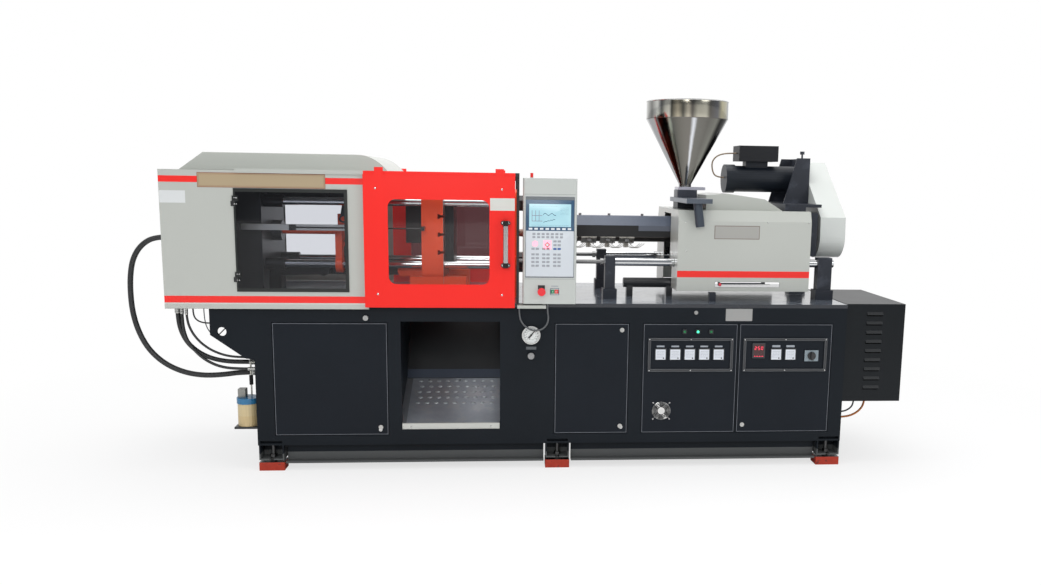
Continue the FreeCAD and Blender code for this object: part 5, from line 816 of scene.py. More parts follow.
def platen_patches(nodes, x, y, z, drift):
    """The mould faces and edges are machined; the mounting plate, ejector block and cursor are black."""
    face = x.within(-0.6515, -0.6495) + x.within(-0.3405, -0.3395)
    plate = x.within(-0.649, -0.59) * y.within(-0.1605, 0.1605)
    plate = plate * z.within(1.2245, 1.6255)
    ejector = x.within(-0.91, -0.784) * y.within(-0.0585, 0.0585)
    ejector = ejector * z.within(1.3545, 1.6005)
    cursor = (y < -0.2805) * z.within(1.4455, 1.4825)
    dirt = ((drift - 0.58) * 5.0).most(0.0) * (z < 1.12)
    return [
        (dirt.least(0.8), (0.07, 0.03, 0.02), 0.6, 0.0),
        (face.least(1.0), (0.36, 0.36, 0.35), 0.3, 1.0),
        (plate, (0.02, 0.02, 0.022), 0.4, 0.3),
        (ejector.most(cursor), (0.018, 0.018, 0.02), 0.35, 0.2),
    ]


platen_paint = finish("platen_paint", ORANGE, rough=0.34, coat=0.1, specular=0.35, mottle=0.12, cloud=5,
                      grain=0.12, grain_size=0.004, patches=platen_patches)
coat("stationary_platen", platen_paint)
coat("moving_platen", platen_paint)
coat("rear_platen", finish("rear_platen_paint", (0.014, 0.015, 0.017), rough=0.36, specular=0.3, mottle=0.3,
                           cloud=5, grain=0.12, grain_size=0.004))


def tie_bar_patches(nodes, x, y, z, drift):
    """Nuts and sleeves are blackened; the bars between are hard chrome."""
    dark = (x < -1.925) + x.within(-1.7505, -1.6345) + (x > -0.1805)
    return [(dark.least(1.0), (0.025, 0.025, 0.027), 0.32, 0.6)]


coat("tie_bars", finish("bar_chrome", (0.6, 0.61, 0.62), metal=1.0, rough=0.13, mottle=0.08, cloud=6,
                        grain=0.02, stretch=(0.05, 1, 1), patches=tie_bar_patches))
forged = finish("forged_black", (0.035, 0.036, 0.04), metal=0.4, rough=0.4, mottle=0.25, cloud=9, grain=0.2)
for link_name in ("front_link", "rear_link", "crosshead_link"):
    for level in ("upper", "lower"):
        coat(f"{link_name}_{level}", forged)
coat("crosshead", finish("crosshead_paint", ORANGE, rough=0.36, coat=0.25, mottle=0.15, cloud=6, grain=0.12))
coat("clamp_cylinder", finish("cylinder_paint", (0.022, 0.024, 0.028), rough=0.35, coat=0.2, mottle=0.2,
                              cloud=6, grain=0.08))
coat("ejector_rod", finish("ejector_steel", (0.55, 0.55, 0.54), metal=1.0, rough=0.22, mottle=0.06, cloud=20,
                           grain=0.03))


def transducer_patches(nodes, x, y, z, drift):
    """Dark end blocks on the drawn extrusion."""
    ends = (x < -1.855) + (x > -1.175)
    return [(ends.least(1.0), (0.03, 0.03, 0.03), 0.4, 0.0)]


coat("linear_transducer", finish("drawn_aluminium", (0.5, 0.5, 0.48), metal=1.0, rough=0.34, mottle=0.06,
                                 cloud=9, grain=0.06, stretch=(0.03, 1, 1), patches=transducer_patches))


# ------------------------------------------------------------------ clamp cover, window and roof
# Folded sheet in warm grey paint with two red stripes, a bare tan plate and a bare pale sticker, and a
# pane of smoked acrylic on two small black hinges. The roof's hump is a curved sheet.
COVER_GREY = (0.47, 0.485, 0.45)
GREY_SHEET = dict(rough=0.3, coat=0.25, mottle=0.035, cloud=1.3, grain=0.1, grain_size=0.0022, spread=0.05)
SIGNAL_RED = (0.86, 0.016, 0.01)
COVER_FRONT = -0.585


def cover_patches(nodes, x, y, z, drift):
    """Stripes on the front, the bare plate with its double line, and the sticker by the left edge."""
    front = y < COVER_FRONT + 0.0004
    stripes = z.within(1.729, 1.765) + z.within(1.034, 1.074)
    line = z.within(1.0275, 1.0315)
    plate, within, inner, innermost = [
        nodes.square(x, z, -1.661, 1.7435, *half)
        for half in ((0.3595, 0.042), (0.3555, 0.038), (0.351, 0.0335), (0.3495, 0.032))
    ]
    rules = (plate - within).most(inner - innermost)
    sticker = nodes.square(x, z, -2.162, 1.646, 0.072, 0.035)
    hinges = (y < COVER_FRONT - 0.0021) * x.within(-1.86, -1.8)
    low_edge = (z < 0.9995) * (x < -1.99)
    return [
        (front * stripes, SIGNAL_RED, 0.3, 0.0),
        (front * line, (0.66, 0.67, 0.63), 0.35, 0.0),
        (front * plate, (0.4, 0.31, 0.19), 0.4, 0.0),
        (front * rules, (0.27, 0.11, 0.06), 0.45, 0.0),
        (front * sticker, (0.66, 0.68, 0.68), 0.4, 0.0),
        (hinges, (0.015, 0.015, 0.016), 0.35, 0.0),
        (low_edge, (0.3, 0.3, 0.3), 0.3, 1.0),
    ]


coat("clamp_cover", finish("cover_paint", COVER_GREY, patches=cover_patches, **GREY_SHEET))
roof_paint = finish("roof_paint", COVER_GREY, **GREY_SHEET)
HUMP_TOP, HUMP_FOOT = 1.904, 1.8005
fall = np.linspace(0, 1, 15)
arc = np.stack([-1.15 + 0.19 * fall, HUMP_TOP - 0.103 * fall ** 2.3], axis=1)
hump = np.concatenate([[(-2.176, HUMP_FOOT), (-2.036, HUMP_TOP)], arc, [(-0.96, HUMP_FOOT)]])
sheet = np.array([(-2.236, 1.798), (-2.236, 1.801), (-0.906, 1.801), (-0.906, 1.798)])


def across(outline, half, radius=0.004):
    """An outline of (x, z) points carried across the machine, drawn in a little at both ends."""
    middle = outline.mean(axis=0)
    shrunk = middle + (outline - middle) * (1 - radius / np.ptp(outline, axis=0).clip(0.02))
    rows = [(shrunk, -half), (outline, -half + radius), (outline, half - radius), (shrunk, half)]
    return np.stack([np.stack([o[:, 0], np.full(len(o), y), o[:, 1]], axis=1) for o, y in rows])


piece("roof_folded", "bed", "cover_grey", (roof_paint, across(sheet, 0.585, 0.001)),
      (roof_paint, across(hump, 0.42)), replaces=("clamp_roof",), sharp=24)


def glazing(name, tint, edge, edge_colour):
    """Tinted sheet that lets lamps through, with painted edges and fittings where edge gives one."""
    material, nodes = blank(name)
    place = nodes.node("TexCoord", out="Object")
    drift = nodes.node("TexNoise", sockets={"Vector": place, "Scale": 4.0, "Detail": 4.0})
    tinted = nodes.node("BsdfTransparent", sockets={"Color": (*tint, 1)})
    clear = nodes.node("BsdfTransparent")
    mirror = nodes.node("BsdfGlossy", sockets={"Roughness": 0.03})
    facing = nodes.node("LayerWeight", sockets={"Blend": 0.22}, out="Fresnel")
    sheet = nodes.blend(facing * 0.55 + 0.02, tinted, mirror)
    sheet = nodes.blend(nodes.node("LightPath", out="Is Shadow Ray"), sheet, clear)
    solid = Wire(nodes, material.node_tree.nodes["Principled BSDF"].outputs[0])
    bright = tuple(c * 1.3 for c in edge_colour)
    nodes.shade(Base_Color=nodes.mix(drift, edge_colour, bright), Roughness=drift * 0.1 + 0.25)
    nodes.give("Material Output", "Surface", nodes.blend(edge(nodes, *nodes.axes(place)), sheet, solid))
    return material


def window_edge(nodes, x, y, z):
    """The hinge leaves and a black band round the pane's rim."""
    inside = nodes.square(x, z, -1.5045, 1.3995, 0.306, 0.279)
    return (1.0 - inside).most(y < -0.5915)


coat("clamp_window", glazing("smoked_pane", (0.82, 0.83, 0.86), window_edge, (0.01, 0.012, 0.011)))


# ------------------------------------------------------------------ guard frame and sliding doors
# Bent sheet in signal red. The front door has a rounded window with a clear pane, a chromed grip on
# black brackets, bright screws at its corners and a bare pale plate; the rear door is its like.
DOOR_FRONT = -0.618
RED_SHEET = dict(rough=0.34, coat=0.08, specular=0.3, mottle=0.05, cloud=1.6, grain=0.06)


def guard_patches(nodes, x, y, z, drift):
    """Black brackets and the bright grip, and a bare plate by the grip."""
    fitting = y < DOOR_FRONT - 0.0035
    brackets = fitting * x.within(-0.3, -0.225) * z.within(1.2, 1.58)
    grip = fitting * x.within(-0.2785, -0.2455) * z.within(1.2865, 1.5035)
    plate = (y < DOOR_FRONT + 0.0001) * nodes.square(x, z, -0.281, 1.627, 0.072, 0.036)
    return [
        (plate, (0.62, 0.62, 0.58), 0.4, 0.0),
        (brackets, (0.012, 0.012, 0.012), 0.28, 0.0),
        (grip, (0.62, 0.62, 0.61), 0.18, 1.0),
    ]


coat("safety_door", finish("guard_red_paint", SIGNAL_RED, patches=guard_patches, spread=0.05, **RED_SHEET))


def frame_patches(nodes, x, y, z, drift):
    """The post beside the operator panel is black; the rail over the clamp cover and the foot are grey."""
    return [
        (x > -0.2065, (0.022, 0.023, 0.025), 0.4, 0.0),
        ((z < 1.0335).most(x < -1.085), (0.46, 0.475, 0.44), 0.33, 0.0),
    ]


coat("guard_frame", finish("frame_red_paint", SIGNAL_RED, patches=frame_patches, **RED_SHEET))
screws = [
    (chrome_trim, screw_head(x, DOOR_FRONT, z, 0.0065))
    for x, z in ((-1.014, 1.711), (-0.284, 1.714), (-1.009, 1.094), (-0.283, 1.092))
]
for z in (1.27, 1.52):
    bracket = slab((-0.29, -0.64, z - 0.013), (-0.234, DOOR_FRONT, z + 0.013), "y", 0.012, 0.003)
    screws.append((knob_black, bracket))
    screws += [(chrome_trim, screw_head(x, -0.64, z, 0.0045)) for x in (-0.281, -0.243)]
piece("safety_door_screws", "safety_door", "bright_steel", *screws)
hinge_screws = [
    (chrome_trim, screw_head(x, -0.597, z + rise, 0.0032))
    for x in (-1.815, -1.804) for z in (1.156, 1.596) for rise in (0.012, 0.048)
]
piece("clamp_window_screws", "clamp_window", "bright_steel", *hinge_screws)


def pane_edge(nodes, x, y, z):
    """The pane's cut edge, a narrow band, looks solid."""
    return 1.0 - nodes.square(x, z, -0.651, 1.401, 0.304, 0.258)


def rear_door_edge(nodes, x, y, z):
    """All but the window of the rear door is painted sheet."""
    return 1.0 - nodes.square(x, z, -0.651, 1.401, 0.294, 0.248) * y.within(0.6105, 0.6155)


coat("door_pane", glazing("clear_pane", (0.95, 0.95, 0.95), pane_edge, (0.3, 0.31, 0.3)))
coat("rear_door", glazing("rear_pane", (0.3, 0.17, 0.18), rear_door_edge, SIGNAL_RED))


# ------------------------------------------------------------------ operator panel
# A sheet cabinet in pale grey on a pivot. A dark blue surround holds the lit screen over a pale membrane
# with printed keys; the red stop button and the green and red rocker sit in the box below.
def panel_patches(nodes, x, y, z, drift):
    """The recess floor is darker, and the lamp on the roof is red."""
    recess = (y > -0.5985) * (y < -0.595) * nodes.square(x, z, 0.0, 1.436, 0.1465, 0.2415)
    seam = z.within(1.1865, 1.1885) + z.within(1.6885, 1.6905)
    return [
        (recess, (0.16, 0.18, 0.19), 0.4, 0.0),
        (seam.least(1.0) * (y < -0.5995), (0.22, 0.23, 0.22), 0.5, 0.0),
        (z > 1.7865, (0.75, 0.02, 0.015), 0.3, 0.0),
    ]


coat("controller_cabinet", finish("panel_paint", (0.5, 0.525, 0.5), rough=0.33, coat=0.2, mottle=0.035,
                                  cloud=2.0, grain=0.1, grain_size=0.0022, patches=panel_patches,
                                  spread=0.05))


def screen_picture():
    """A lit display: pale blue, a grid of grey boxes at its left, two wavy dark lines and a status row."""
    material, nodes = blank("screen_picture")
    place = nodes.node("TexCoord", out="Object")
    x, y, z = nodes.axes(place)
    cloud = nodes.node("TexNoise", sockets={"Vector": place, "Scale": 9.0, "Detail": 1.0})
    line_x = ((x + 0.108) * 48.0).fract().within(0.0, 0.11)
    line_z = ((z - 1.531) * 31.0).fract().within(0.0, 0.08)
    grid = nodes.square(x, z, -0.077, 1.563, 0.031, 0.032) * line_x.most(line_z)
    wave = nodes.maths("ABSOLUTE", z - ((x * 160.0).sine() * 0.006 + 1.572)) < 0.002
    wave = wave * x.within(-0.042, 0.034)
    step = nodes.maths("ABSOLUTE", z - (nodes.maths("FLOOR", x * 60.0) * 0.004 + 1.538)) < 0.0016
    step = step * x.within(-0.04, 0.03)
    text = (z * 125.0).fract().within(0.3, 0.6) * ((x * 1500.0 + z * 4000.0).sine() > -0.2)
    notes = nodes.square(x, z, 0.085, 1.59, 0.026, 0.022)
    heading = nodes.square(x, z, -0.03, 1.619, 0.075, 0.005)
    status = nodes.square(x, z, 0.0, 1.504, 0.11, 0.006)
    shade = nodes.mix(cloud, (0.34, 0.62, 0.72), (0.5, 0.78, 0.85))
    for mask, ink in (
        (grid, (0.22, 0.16, 0.24)),
        (wave.most(step), (0.05, 0.12, 0.2)),
        (text * notes.most(heading) * 0.6, (0.1, 0.22, 0.3)),
        (text * status * 0.7, (0.05, 0.15, 0.3)),
    ):
        shade = nodes.mix(mask, shade, ink)
    glass = nodes.mix(cloud, (0.02, 0.03, 0.035), (0.03, 0.04, 0.045))
    nodes.shade(Emission_Color=shade, Base_Color=glass, Roughness=cloud * 0.05 + 0.12, Emission_Strength=1.0)
    return material


screen_blue = finish("screen_surround", (0.03, 0.085, 0.16), rough=0.3, coat=0.2, mottle=0.12, cloud=8,
                     grain=0.02)
membrane = finish("membrane_foil", (0.6, 0.64, 0.68), rough=0.36, mottle=0.03, cloud=6, grain=0.03)
key_grey = finish("key_grey", (0.33, 0.35, 0.38), rough=0.4, mottle=0.1, cloud=60, grain=0.02)
key_white = finish("key_white", (0.74, 0.77, 0.79), rough=0.36, mottle=0.05, cloud=60, grain=0.02)
key_blue = finish("key_blue", (0.05, 0.12, 0.33), rough=0.36, mottle=0.1, cloud=60, grain=0.02)
key_pink = glowing("key_pink", (0.98, 0.42, 0.52), 0.75, 0.25)
key_red = finish("key_red", (0.7, 0.05, 0.07), rough=0.36, mottle=0.1, cloud=60, grain=0.02)
KEY_HALF = (0.0088, 0.0062)
BANK_KEY_HALF = (0.0098, 0.0062)
face = [
    (membrane, slab((-0.1425, -0.5985, 1.202), (0.1425, -0.5968, 1.4745), "y", 0.003, 0.0004)),
    (screen_blue, slab((-0.1425, -0.5988, 1.4748), (0.1425, -0.5968, 1.657), "y", 0.003, 0.0004)),
    (screen_picture(), slab((-0.124, -0.5992, 1.4985), (0.124, -0.5986, 1.633), "y", 0.001, 0.0002)),
    (key_grey, border((-0.1465, -0.6004, 1.1945), (0.1465, -0.599, 1.6775), "y", 0.0022, 0.004, 0.003,
                      0.0004)),
]


def key(material, x, z, half_x, half_z):
    """One printed key: a thin rounded plate on the membrane."""
    return material, label(x, z, half_x, half_z, -0.5993, -0.5984, 0.0016, 0.0003, 3)


face += [key(key_white, -0.1155 + 0.033 * i, 1.4865, 0.0105, 0.0055) for i in range(8)]
face += [
    key(key_grey, -0.095 + 0.0272 * column, 1.456 - 0.0185 * row, *KEY_HALF)
    for row in range(2) for column in range(7)
]
# three banks of keys in pairs; the first two leave room for the lit buttons above their third row
for bank, left in enumerate((-0.1, -0.036, 0.03)):
    for row in range(0 if bank == 2 else 2, 7):
        shade = key_blue if (bank, row) == (2, 2) else key_grey
        z = 1.413 - 0.0225 * row - (0.011 if row > 2 else 0.0)
        face += [key(shade, left + 0.0255 * column, z, *BANK_KEY_HALF) for column in range(2)]
BUTTON_X, BUTTON_Z = -0.015, 1.392
round_key = [(-0.5984, 0.0175), (-0.5994, 0.017), (-0.5996, 0.0)]
face.append((key_pink, turned(round_key, "y", (-0.088, 0, 1.398), 32)))
face.append(key(key_pink, BUTTON_X, BUTTON_Z, 0.024, 0.027))
for shade, profile in (
    (key_red, [(-0.5984, 0.0165), (-0.5998, 0.016), (-0.6, 0.0)]),
    (key_white, [(-0.599, 0.01), (-0.6003, 0.0095), (-0.6004, 0.0)]),
):
    face.append((shade, turned(profile, "y", (BUTTON_X, 0, BUTTON_Z), 4)))
piece("panel_face", "controller_cabinet", "black_plastic", *face)


def stop_patches(nodes, x, y, z, drift):
    """The collar behind the red mushroom head is darker."""
    return [(y > -0.6085, (0.2, 0.02, 0.02), 0.4, 0.0)]


coat("emergency_stop", finish("stop_plastic", (0.78, 0.02, 0.03), rough=0.24, coat=0.4, mottle=0.06,
                              cloud=30, grain=0.02, patches=stop_patches))


def rocker_patches(nodes, x, y, z, drift):
    """The green half and the red half, each with a small pale mark."""
    dash = nodes.square(x, z, 0.02, 1.112, 0.0012, 0.0045)
    circle = nodes.reach(x - 0.042, z - 1.112).within(0.003, 0.0045)
    return [
        (x < 0.031, (0.02, 0.22, 0.1), 0.3, 0.0),
        (dash.most(circle) * (y < -0.6), (0.8, 0.8, 0.78), 0.4, 0.0),
    ]


coat("power_rocker", finish("rocker_plastic", (0.7, 0.03, 0.03), rough=0.28, coat=0.3, mottle=0.05, cloud=40,
                            grain=0.01, patches=rocker_patches))
piece("rocker_frame", "controller_cabinet", "black_plastic",
      (screen_blue, border((0.0045, -0.6012, 1.0915), (0.0575, -0.6, 1.1325), "y", 0.0024, 0.002, 0.001,
                           0.0004)),
      (knob_black, label(-0.048, 1.135, 0.021, 0.015, -0.601, -0.6)),
      (key_grey, label(0.031, 1.1445, 0.021, 0.003, -0.6008, -0.6)))


# ------------------------------------------------------------------ guide rods, stands and carriage
# Two hard-chromed rods on cast stands carry the injection unit. Castings are in blue-black paint, worn
# to a paler blue in places; the nozzle's pull cylinder is a black tube.
def rod_patches(nodes, x, y, z, drift):
    """The slim noses that reach into the fixed platen are bare steel, darker than the chrome."""
    return [(x < 0.3605, (0.2, 0.2, 0.2), 0.36, 1.0)]


coat("guide_rods", finish("rod_chrome", (0.62, 0.63, 0.64), metal=1.0, rough=0.12, mottle=0.08, cloud=7,
                          grain=0.02, stretch=(0.05, 1, 1), patches=rod_patches))


def cast_patches(nodes, x, y, z, drift):
    """Rubbed, oily places where the paint looks paler."""
    worn = ((drift - 0.54) * 6.0).most(0.0).least(1.0)
    return [(worn * 0.55, (0.075, 0.085, 0.11), 0.28, 0.0)]


cast_blue = finish("cast_blue_black", (0.02, 0.024, 0.034), rough=0.4, specular=0.4, mottle=0.25, cloud=9,
                   grain=0.3, grain_size=0.004, patches=cast_patches, spread=0.12)
for node in ("rod_pedestals", "carriage", "injection_housing"):
    coat(node, cast_blue)


def slide_patches(nodes, x, y, z, drift):
    """The slide plate over the black saddle is rubbed to bare slate-grey steel; its drain tube is painted."""
    plate_foot = 1.6445
    tube = (y < -0.395) * (z < plate_foot)
    return [(z > plate_foot, (0.13, 0.15, 0.18), 0.3, 0.6), (tube, (0.035, 0.047, 0.066), 0.32, 0.0)]


coat("hopper_base", finish("slide_base", (0.016, 0.019, 0.026), rough=0.4, mottle=0.25, cloud=9, grain=0.2,
                           patches=slide_patches))
coat("carriage_cylinder", finish("pull_tube", (0.02, 0.021, 0.023), rough=0.3, coat=0.3, mottle=0.2,
                                 cloud=10, grain=0.06))


# ------------------------------------------------------------------ barrel, heater bands and guard
# A steel barrel with five stainless heater bands, each fed by three glass-braided leads from a terminal,
# under a folded blue guard with a dotted pressing along its front.
BAND_PITCH = 0.125


def barrel_patches(nodes, x, y, z, drift):
    """Bands are stainless with dark gaps between; the barrel by its nozzle is heat-blued steel."""
    along = ((x + 0.02) * (1 / BAND_PITCH)).fract()
    bands = x.within(-0.0205, 0.581) * (along < 0.795)
    return [
        (bands, (0.42, 0.4, 0.36), 0.34, 1.0),
        (bands * along.within(0.385, 0.41), (0.08, 0.07, 0.06), 0.5, 1.0),
        (x < -0.06, (0.3, 0.26, 0.22), 0.36, 1.0),
    ]


coat("barrel", finish("barrel_steel", (0.12, 0.11, 0.1), metal=1.0, rough=0.42, mottle=0.25, cloud=12,
                      grain=0.2, patches=barrel_patches))


def barrel_guard_patches(nodes, x, y, z, drift):
    """Rows of small dents on the upper front; the skirt below the shoulder is plain black."""
    dots = (x * 700.0).sine() * (z * 700.0).sine()
    dotted = (dots - 0.25).most(0.0) * z.within(1.489, 1.544) * (y < 0.0)
    skirt = z < 1.4865
    return [
        ((dotted * 1.3).least(1.0), (0.02, 0.024, 0.034), 0.5, 0.0),
        (skirt, (0.003, 0.003, 0.004), 0.5, 0.0),
        (skirt * (x > 0.6) * (z > 1.452), (0.14, 0.155, 0.19), 0.3, 0.7),
        (z > 1.5465, (0.3, 0.3, 0.3), 0.3, 1.0),
    ]


coat("barrel_guard", finish("barrel_guard_paint", (0.085, 0.105, 0.15), rough=0.42, mottle=0.16, cloud=11,
                            grain=0.12, patches=barrel_guard_patches))
braid = finish("glass_braid", (0.3, 0.29, 0.26), rough=0.7, mottle=0.3, cloud=200, grain=0.3,
               grain_size=0.0012)
ceramic = finish("lead_cap", (0.2, 0.2, 0.2), metal=0.6, rough=0.4, mottle=0.3, cloud=60, grain=0.1)


def lead(start, end, sag, radius=0.0021):
    """A thin lead between two points: a straight line less a sine's half wave, with round sections."""
    steps = np.linspace(0, 1, 12)[:, None]
    route = np.array(start) * (1 - steps) + np.array(end) * steps
    route = route - np.array((0, 0, sag)) * np.sin(math.pi * steps)
    turn = np.linspace(0, 2 * math.pi, 8, endpoint=False)[:, None]
    circle = radius * np.concatenate([0 * turn, np.cos(turn), np.sin(turn)], axis=1)
    return route[:, None] + circle[None]


leads = []
for i in range(5):
    x = 0.03 + BAND_PITCH * i
    leads.append((ceramic, slab((x - 0.015, -0.07, 1.378), (x + 0.015, -0.052, 1.398), "z", 0.003, 0.002)))
    leads.append((chrome_trim, wire((x + 0.03, -0.058, 1.379), (x + 0.03, -0.04, 1.362), 0.0035)))
    for side in (-0.022, -0.008, 0.008):
        leads.append((braid, lead((x + side, -0.061, 1.377), (x + 0.11 + side, -0.045, 1.366), 0.034)))
piece("heater_leads", "carriage", "bright_steel", *leads)


# ------------------------------------------------------------------ hopper
# Spun stainless cone with a rolled rim and an upright band, welded to a square flange and polished; the hall
# it mirrors is painted into its colour as long dark and bright streaks of painted reflection. It slides on a
# black block.
HOPPER_X = 0.916
# each stop: the turn round the hopper from its back, and the colour of the painted reflection there
CONE_STREAKS = [
    (0.0, (0.5, 0.48, 0.44)), (0.1, (0.16, 0.15, 0.14)), (0.2, (0.5, 0.5, 0.48)),
    (0.28, (0.46, 0.47, 0.48)), (0.325, (0.5, 0.5, 0.49)), (0.35, (0.012, 0.012, 0.012)),
    (0.385, (0.02, 0.02, 0.018)), (0.395, (0.42, 0.45, 0.38)), (0.41, (0.1, 0.1, 0.09)),
    (0.43, (0.13, 0.125, 0.11)), (0.485, (0.17, 0.16, 0.145)), (0.498, (0.72, 0.74, 0.78)),
    (0.512, (0.17, 0.165, 0.15)), (0.56, (0.16, 0.155, 0.14)), (0.6, (0.26, 0.26, 0.23)),
    (0.625, (0.02, 0.02, 0.018)), (0.665, (0.012, 0.012, 0.012)), (0.69, (0.3, 0.3, 0.31)),
    (0.72, (0.6, 0.6, 0.6)), (0.85, (0.22, 0.21, 0.2)), (1.0, (0.5, 0.48, 0.44)),
]
BAND_STREAKS = [
    (0.0, (0.46, 0.42, 0.34)), (0.12, (0.12, 0.11, 0.1)), (0.24, (0.6, 0.6, 0.58)),
    (0.31, (0.2, 0.2, 0.19)), (0.345, (0.58, 0.58, 0.55)), (0.365, (0.1, 0.1, 0.1)),
    (0.385, (0.55, 0.54, 0.47)), (0.4, (0.62, 0.6, 0.52)), (0.41, (0.06, 0.06, 0.05)),
    (0.435, (0.4, 0.36, 0.27)), (0.455, (0.08, 0.08, 0.07)), (0.475, (0.5, 0.46, 0.37)),
    (0.49, (0.12, 0.11, 0.1)), (0.51, (0.48, 0.46, 0.38)), (0.545, (0.55, 0.53, 0.44)),
    (0.56, (0.16, 0.15, 0.13)), (0.6, (0.2, 0.2, 0.21)), (0.625, (0.46, 0.43, 0.3)),
    (0.66, (0.44, 0.42, 0.33)), (0.69, (0.16, 0.18, 0.22)), (0.72, (0.58, 0.58, 0.58)),
    (1.0, (0.46, 0.42, 0.34)),
]


def hopper_patches(nodes, x, y, z, drift):
    """Painted reflection: streaks down the cone and round the band, by the angle round the hopper's axis."""
    angle = nodes.maths("ARCTAN2", x - HOPPER_X, y * -1.0) * (0.5 / math.pi) + 0.5
    wander = angle + (drift - 0.5) * 0.012
    cone = nodes.node("ValToRGB", {"stops": CONE_STREAKS}, {0: wander})
    band = nodes.node("ValToRGB", {"stops": BAND_STREAKS}, {0: wander})
    return [
        (z.within(1.742, 2.1755), cone, 0.13, 1.0),
        (z > 2.1765, band, 0.13, 1.0),
        (z.within(2.174, 2.178), (0.16, 0.15, 0.14), 0.3, 1.0),
    ]


hopper_steel = finish("polished_stainless", (0.4, 0.41, 0.44), metal=1.0, rough=0.22, mottle=0.1, cloud=6,
                      grain=0.03, grain_size=0.002, stretch=(1, 1, 0.03), patches=hopper_patches)
slide_casting = finish("slide_casting", (0.045, 0.05, 0.065), metal=0.3, rough=0.35, mottle=0.3, cloud=14,
                       grain=0.2)
flange_steel = finish("flange_steel", (0.5, 0.5, 0.57), metal=0.35, rough=0.24, mottle=0.25, cloud=18,
                      grain=0.05)
wall = [
    (1.741, 0.041), (1.758, 0.041), (2.176, 0.266), (2.29, 0.266), (2.29, 0.2635), (2.1765, 0.2635),
    (1.7585, 0.0385), (1.741, 0.0385), (1.741, 0.041),
]
piece("hopper_spun", "hopper", "bare_aluminium",
      (hopper_steel, turned(wall, "z", (HOPPER_X, 0.0, 0.0), 96)),
      (chrome_trim, ring("z", (HOPPER_X, 0.0, 2.2865), 0.2655, 0.0035, 96)),
      (flange_steel, border((0.86, -0.07, 1.721), (1.04, 0.07, 1.741), "z", 0.03, 0.006, 0.02, 0.0015)),
      (slide_casting, border((0.856, -0.07, 1.673), (0.986, 0.07, 1.721), "z", 0.045, 0.006, 0.015, 0.0015)),
      replaces=("hopper",))


# ------------------------------------------------------------------ injection cover
# Folded sheet over the injection unit in the clamp cover's grey, with a red stripe, a bare plate, a slot
# with a rule and a red stroke pointer, and bright screws.
UNIT_FRONT = -0.4


def unit_patches(nodes, x, y, z, drift):
    """The stripe, and the bare plate with its line."""
    front = y < UNIT_FRONT + 0.0005
    plate = nodes.square(x, z, 1.181, 1.466, 0.1445, 0.0425)
    rule = plate - nodes.square(x, z, 1.181, 1.466, 0.14, 0.038)
    return [
        (front * z.within(1.182, 1.223), SIGNAL_RED, 0.3, 0.0),
        (front * plate, (0.36, 0.355, 0.33), 0.4, 0.0),
        (front * rule, (0.2, 0.16, 0.14), 0.45, 0.0),
    ]


coat("injection_cover", finish("unit_paint", COVER_GREY, patches=unit_patches, **GREY_SHEET))
edge_grey = finish("edge_grey", (0.3, 0.31, 0.3), rough=0.35, mottle=0.2, cloud=20, grain=0.02)
screws = [
    (chrome_trim, screw_head(x, UNIT_FRONT, z, 0.0045))
    for x, z in ((0.854, 1.528), (1.375, 1.528), (0.86, 1.347), (1.64, 1.528))
]
slot_rim = border((1.048, UNIT_FRONT - 0.0008, 1.119), (1.469, UNIT_FRONT, 1.157), "y", 0.0022, 0.012, 0.01,
                  0.0003)
rule = slab((1.085, -0.399, 1.133), (1.405, -0.3975, 1.143), "y", 0.002, 0.0004)
knob = [(-0.398, 0.007), (-0.406, 0.0095), (-0.412, 0.0095), (-0.414, 0.007), (-0.414, 0.0)]
pointer = turned(knob, "y", (1.082, 0, 1.138), 28)
piece("unit_cover_trim", "carriage", "bright_steel", (edge_grey, slot_rim), (chrome_trim, rule),
      (key_red, pointer), *screws)


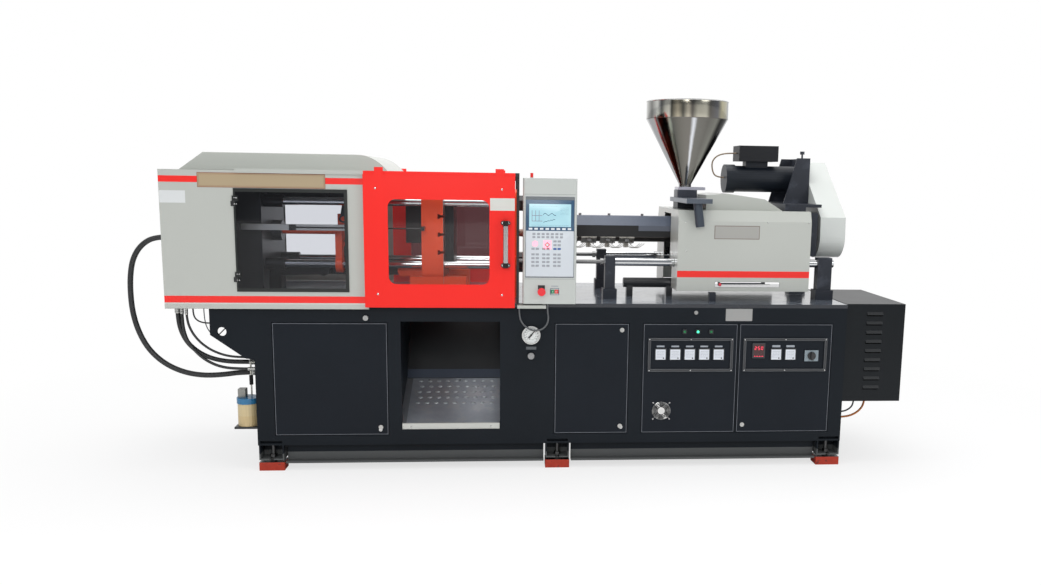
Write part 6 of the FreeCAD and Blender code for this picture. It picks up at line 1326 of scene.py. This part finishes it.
# ------------------------------------------------------------------ motor, bracket and belt guard
# A round motor in blue-black paint with cooling fins round its body and a black terminal box, on a
# welded bracket. The belt runs inside a folded off-white guard.
def motor_patches(nodes, x, y, z, drift):
    """The terminal box is satin black, and painted shade darkens the spaces between the fins."""
    box = (z > 1.9195) * x.within(1.325, 1.615)
    # painted shade between the fins
    gaps = (nodes.maths("ARCTAN2", z - 1.8, y - 0.32) * 5.4).fract().within(0.0, 0.16)
    gaps = gaps * x.within(1.335, 1.765) * (1.0 - box)
    return [
        (box, (0.009, 0.01, 0.013), 0.45, 0.0),
        (gaps * 0.7, (0.006, 0.007, 0.01), 0.5, 0.0),
    ]


coat("motor", finish("motor_paint", (0.01, 0.014, 0.021), rough=0.38, specular=0.3, mottle=0.15, cloud=7,
                     grain=0.15, patches=motor_patches))
coat("motor_pulley", finish("pulley_steel", (0.25, 0.25, 0.25), metal=1.0, rough=0.35, mottle=0.15, cloud=20,
                            grain=0.1))
coat("screw", finish("screw_steel", (0.42, 0.41, 0.39), metal=1.0, rough=0.3, mottle=0.15, cloud=20,
                     grain=0.1))
coat("drive_belt", finish("belt_rubber", (0.016, 0.016, 0.016), rough=0.6, mottle=0.2, cloud=30, grain=0.3))
coat("belt_guard", finish("belt_guard_paint", (0.62, 0.645, 0.62), rough=0.34, coat=0.15, mottle=0.03,
                          cloud=1.5, grain=0.1, grain_size=0.0022, spread=0.05))


# ------------------------------------------------------------------ lubrication unit
# A cream plastic oil bottle under a blue moulded cap, with a small pump on top and a white plastic pipe
# up the bed's end, on a sheet shelf.
def lubrication_patches(nodes, x, y, z, drift):
    """Shelf, oil level, cap, pump, pipe and its union, from the floor upwards."""
    cap_low, cap_high = 0.4035, 0.4385
    return [
        (z < 0.2665, (0.016, 0.018, 0.022), 0.4, 0.0),
        (z.within(0.266, 0.33), (0.6, 0.46, 0.24), 0.35, 0.0),
        (z.within(cap_low, cap_high), (0.03, 0.17, 0.34), 0.32, 0.0),
        (z > cap_high, (0.3, 0.3, 0.28), 0.4, 0.7),
        ((z > cap_high) * (x > -1.815), (0.7, 0.69, 0.62), 0.4, 0.0),
        (z.within(0.5095, 0.5685) * (x > -1.82), (0.012, 0.012, 0.013), 0.4, 0.0),
    ]


coat("lubrication_unit", finish("oil_bottle", (0.62, 0.5, 0.28), rough=0.32, mottle=0.1, cloud=14,
                                grain=0.05, patches=lubrication_patches))
